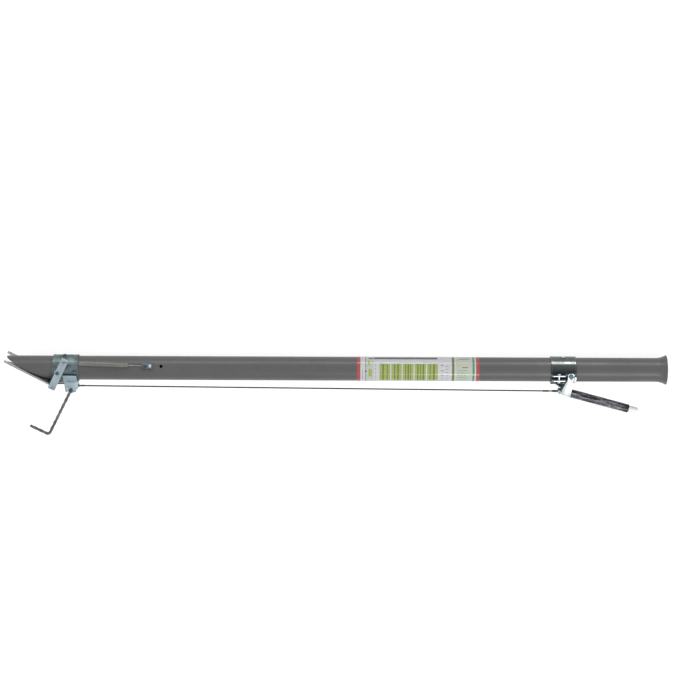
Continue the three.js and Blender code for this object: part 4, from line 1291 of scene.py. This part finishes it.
def makePullWire(values):
    foot = at(*values["low"])
    way = at(*values["high"]) - foot
    length = way.length / mm
    points = values["strands"] * 2
    clearSelection()
    bpy.ops.mesh.primitive_circle_add(
        vertices=points, radius=values["radius"] * mm, rotation=(0, math.pi / 2, 0), fill_type="NOTHING"
    )
    section = applyPlace(bpy.context.object)
    for i in range(0, points, 2):  # every other point drawn in, between two strands
        section.data.vertices[i].co *= values["groove"]
    steps = round(length / values["lay"] * values["perTurn"])
    wire = twistedRod("pullWire", section, length, values["lay"], steps)
    start, end = (edge - values["low"][0] for edge in values["crimp"])
    crimp = addRod("crimp", ((start + end) / 2 * mm, 0, 0), values["crimpRadius"], end - start, "X", 24)
    startEdit(crimp)
    shares = [share for pair in values["pressed"] for share in pair]
    cutAcross([((start + (end - start) * share) * mm, 0, 0) for share in shares])
    for low, high in values["pressed"]:  # pressed flat in two places
        pick(crimp, "faces", lambda place, way: low < (place.x - start) / (end - start) < high, local=True)
        bpy.ops.mesh.inset(thickness=0.1 * mm, depth=-values["pressDepth"] * mm)
    endEdit()
    wire = smoothBy(layAlong(weldTogether(wire, roundEdges(crimp, 0.3)), foot, way), 70)
    finishPiece(wire, "wire_body", "wire", "pull_wire")


makePullWire(pullWireValues)


# the grip and its cap
gripValues = {
    "start": (892.3, -40.3), "slope": -15.7, "first": 0.8, "length": 97.8, "radius": 6.75, "bore": 3.95,
    "rings": 110, "sides": 56, "wrinkle": 0.75, "wrinkleSize": 2.6, "squeeze": 9.0,
}
capValues = {
    "radius": 5.5, "length": 15.5, "gap": 0.3, "dome": 1.3,
    "bore": 3.75, "end": 2.1,  # the hollow's middle is this far short of the cap's own
    "groove": (3.0, 3.3, 4.0, 4.3), "sink": 0.35,
}


def placeOnGrip(piece, values):
    return placeTurned(piece, at(*values["start"]), (0, 0, math.radians(values["slope"])))


def makeGrip(values):
    start, end, radius = values["first"], values["length"], values["radius"]
    squeeze = values["squeeze"]  # wrinkled while short, so that the wrinkles draw out lengthwise
    middle = ((start + end) / 2 / squeeze * mm, 0, 0)
    grip = addRod("gripSleeve", middle, radius, (end - start) / squeeze, "X", values["sides"], "NOTHING")
    startEdit(grip)
    shares = [i / values["rings"] for i in range(1, values["rings"])]
    cutAcross([((start + (end - start) * share) / squeeze * mm, 0, 0) for share in shares])
    endEdit()
    folds = bpy.data.textures.new("folds", "CLOUDS")
    folds.noise_scale = values["wrinkleSize"] * mm
    folds.noise_depth = 2
    ends = grip.vertex_groups.new(name="betweenEnds")
    low, high = (start + 0.5) * mm, (end - 1.5) * mm
    ends.add([vert.index for vert in grip.data.vertices if low < vert.co.x * squeeze < high], 1.0, "ADD")
    applyModifier(
        grip, "DISPLACE", texture=folds, texture_coords="LOCAL", strength=values["wrinkle"] * mm,
        mid_level=0.5, vertex_group="betweenEnds",
    )
    grip.vertex_groups.clear()
    startEdit(grip, action="SELECT")
    resizeAt((squeeze, 1, 1))
    endEdit()
    giveWall(grip, radius - values["bore"], even=False)
    roundEdges(grip, 0.5, 3, 60)
    smoothBy(placeOnGrip(grip, values), 70)
    finishPiece(grip, "trigger_body", "black_rubber", "grip_sleeve")


def makeCap(values, grip):
    start, end = grip["length"] + values["gap"], grip["length"] + values["length"]
    cap = addRod("gripEndCap", ((start + end) / 2 * mm, 0, 0), values["radius"], end - start, "X", 56)
    startEdit(cap)
    cutAcross([((start + edge) * mm, 0, 0) for edge in values["groove"]])
    low, high = values["groove"][1] - 0.1, values["groove"][2] + 0.1
    pick(cap, "verts", lambda place, way: low < place.x - start < high, local=True)
    sunk = 1 - values["sink"] / values["radius"]
    resizeAt((1, sunk, sunk))
    pick(cap, "edges", lambda place, way: place.x > end - 0.1, local=True)
    bevelEdges(values["dome"], 6)
    endEdit()
    drill(cap, (((start + end) / 2 - values["end"]) * mm, 0, 0), values["bore"], end - start, "X")
    roundEdges(cap, 0.25, 2, 40)
    placeOnGrip(cap, grip)
    finishPiece(cap, "trigger_body", "white_plastic", "grip_end_cap")


makeGrip(gripValues)
makeCap(capValues, gripValues)
print("wire, grip and cap done")


# the printed label
labelValues = {
    "start": 554.0, "length": 193.0, "radius": 19.36, "sides": 120, "thickness": 0.22, "gap": 3.0,
}


def makeLabel(values):
    start = values["start"]
    label = addPipe("printedLabel", start, start + values["length"], values["radius"], values["sides"])
    deletePicked(label, lambda place, way: place.y < 0 and abs(place.z) < values["gap"])
    giveWall(label, values["thickness"])
    smoothBy(label, 40)
    finishPiece(label, "tube_body", "label_film", "label")


makeLabel(labelValues)
print("label done")
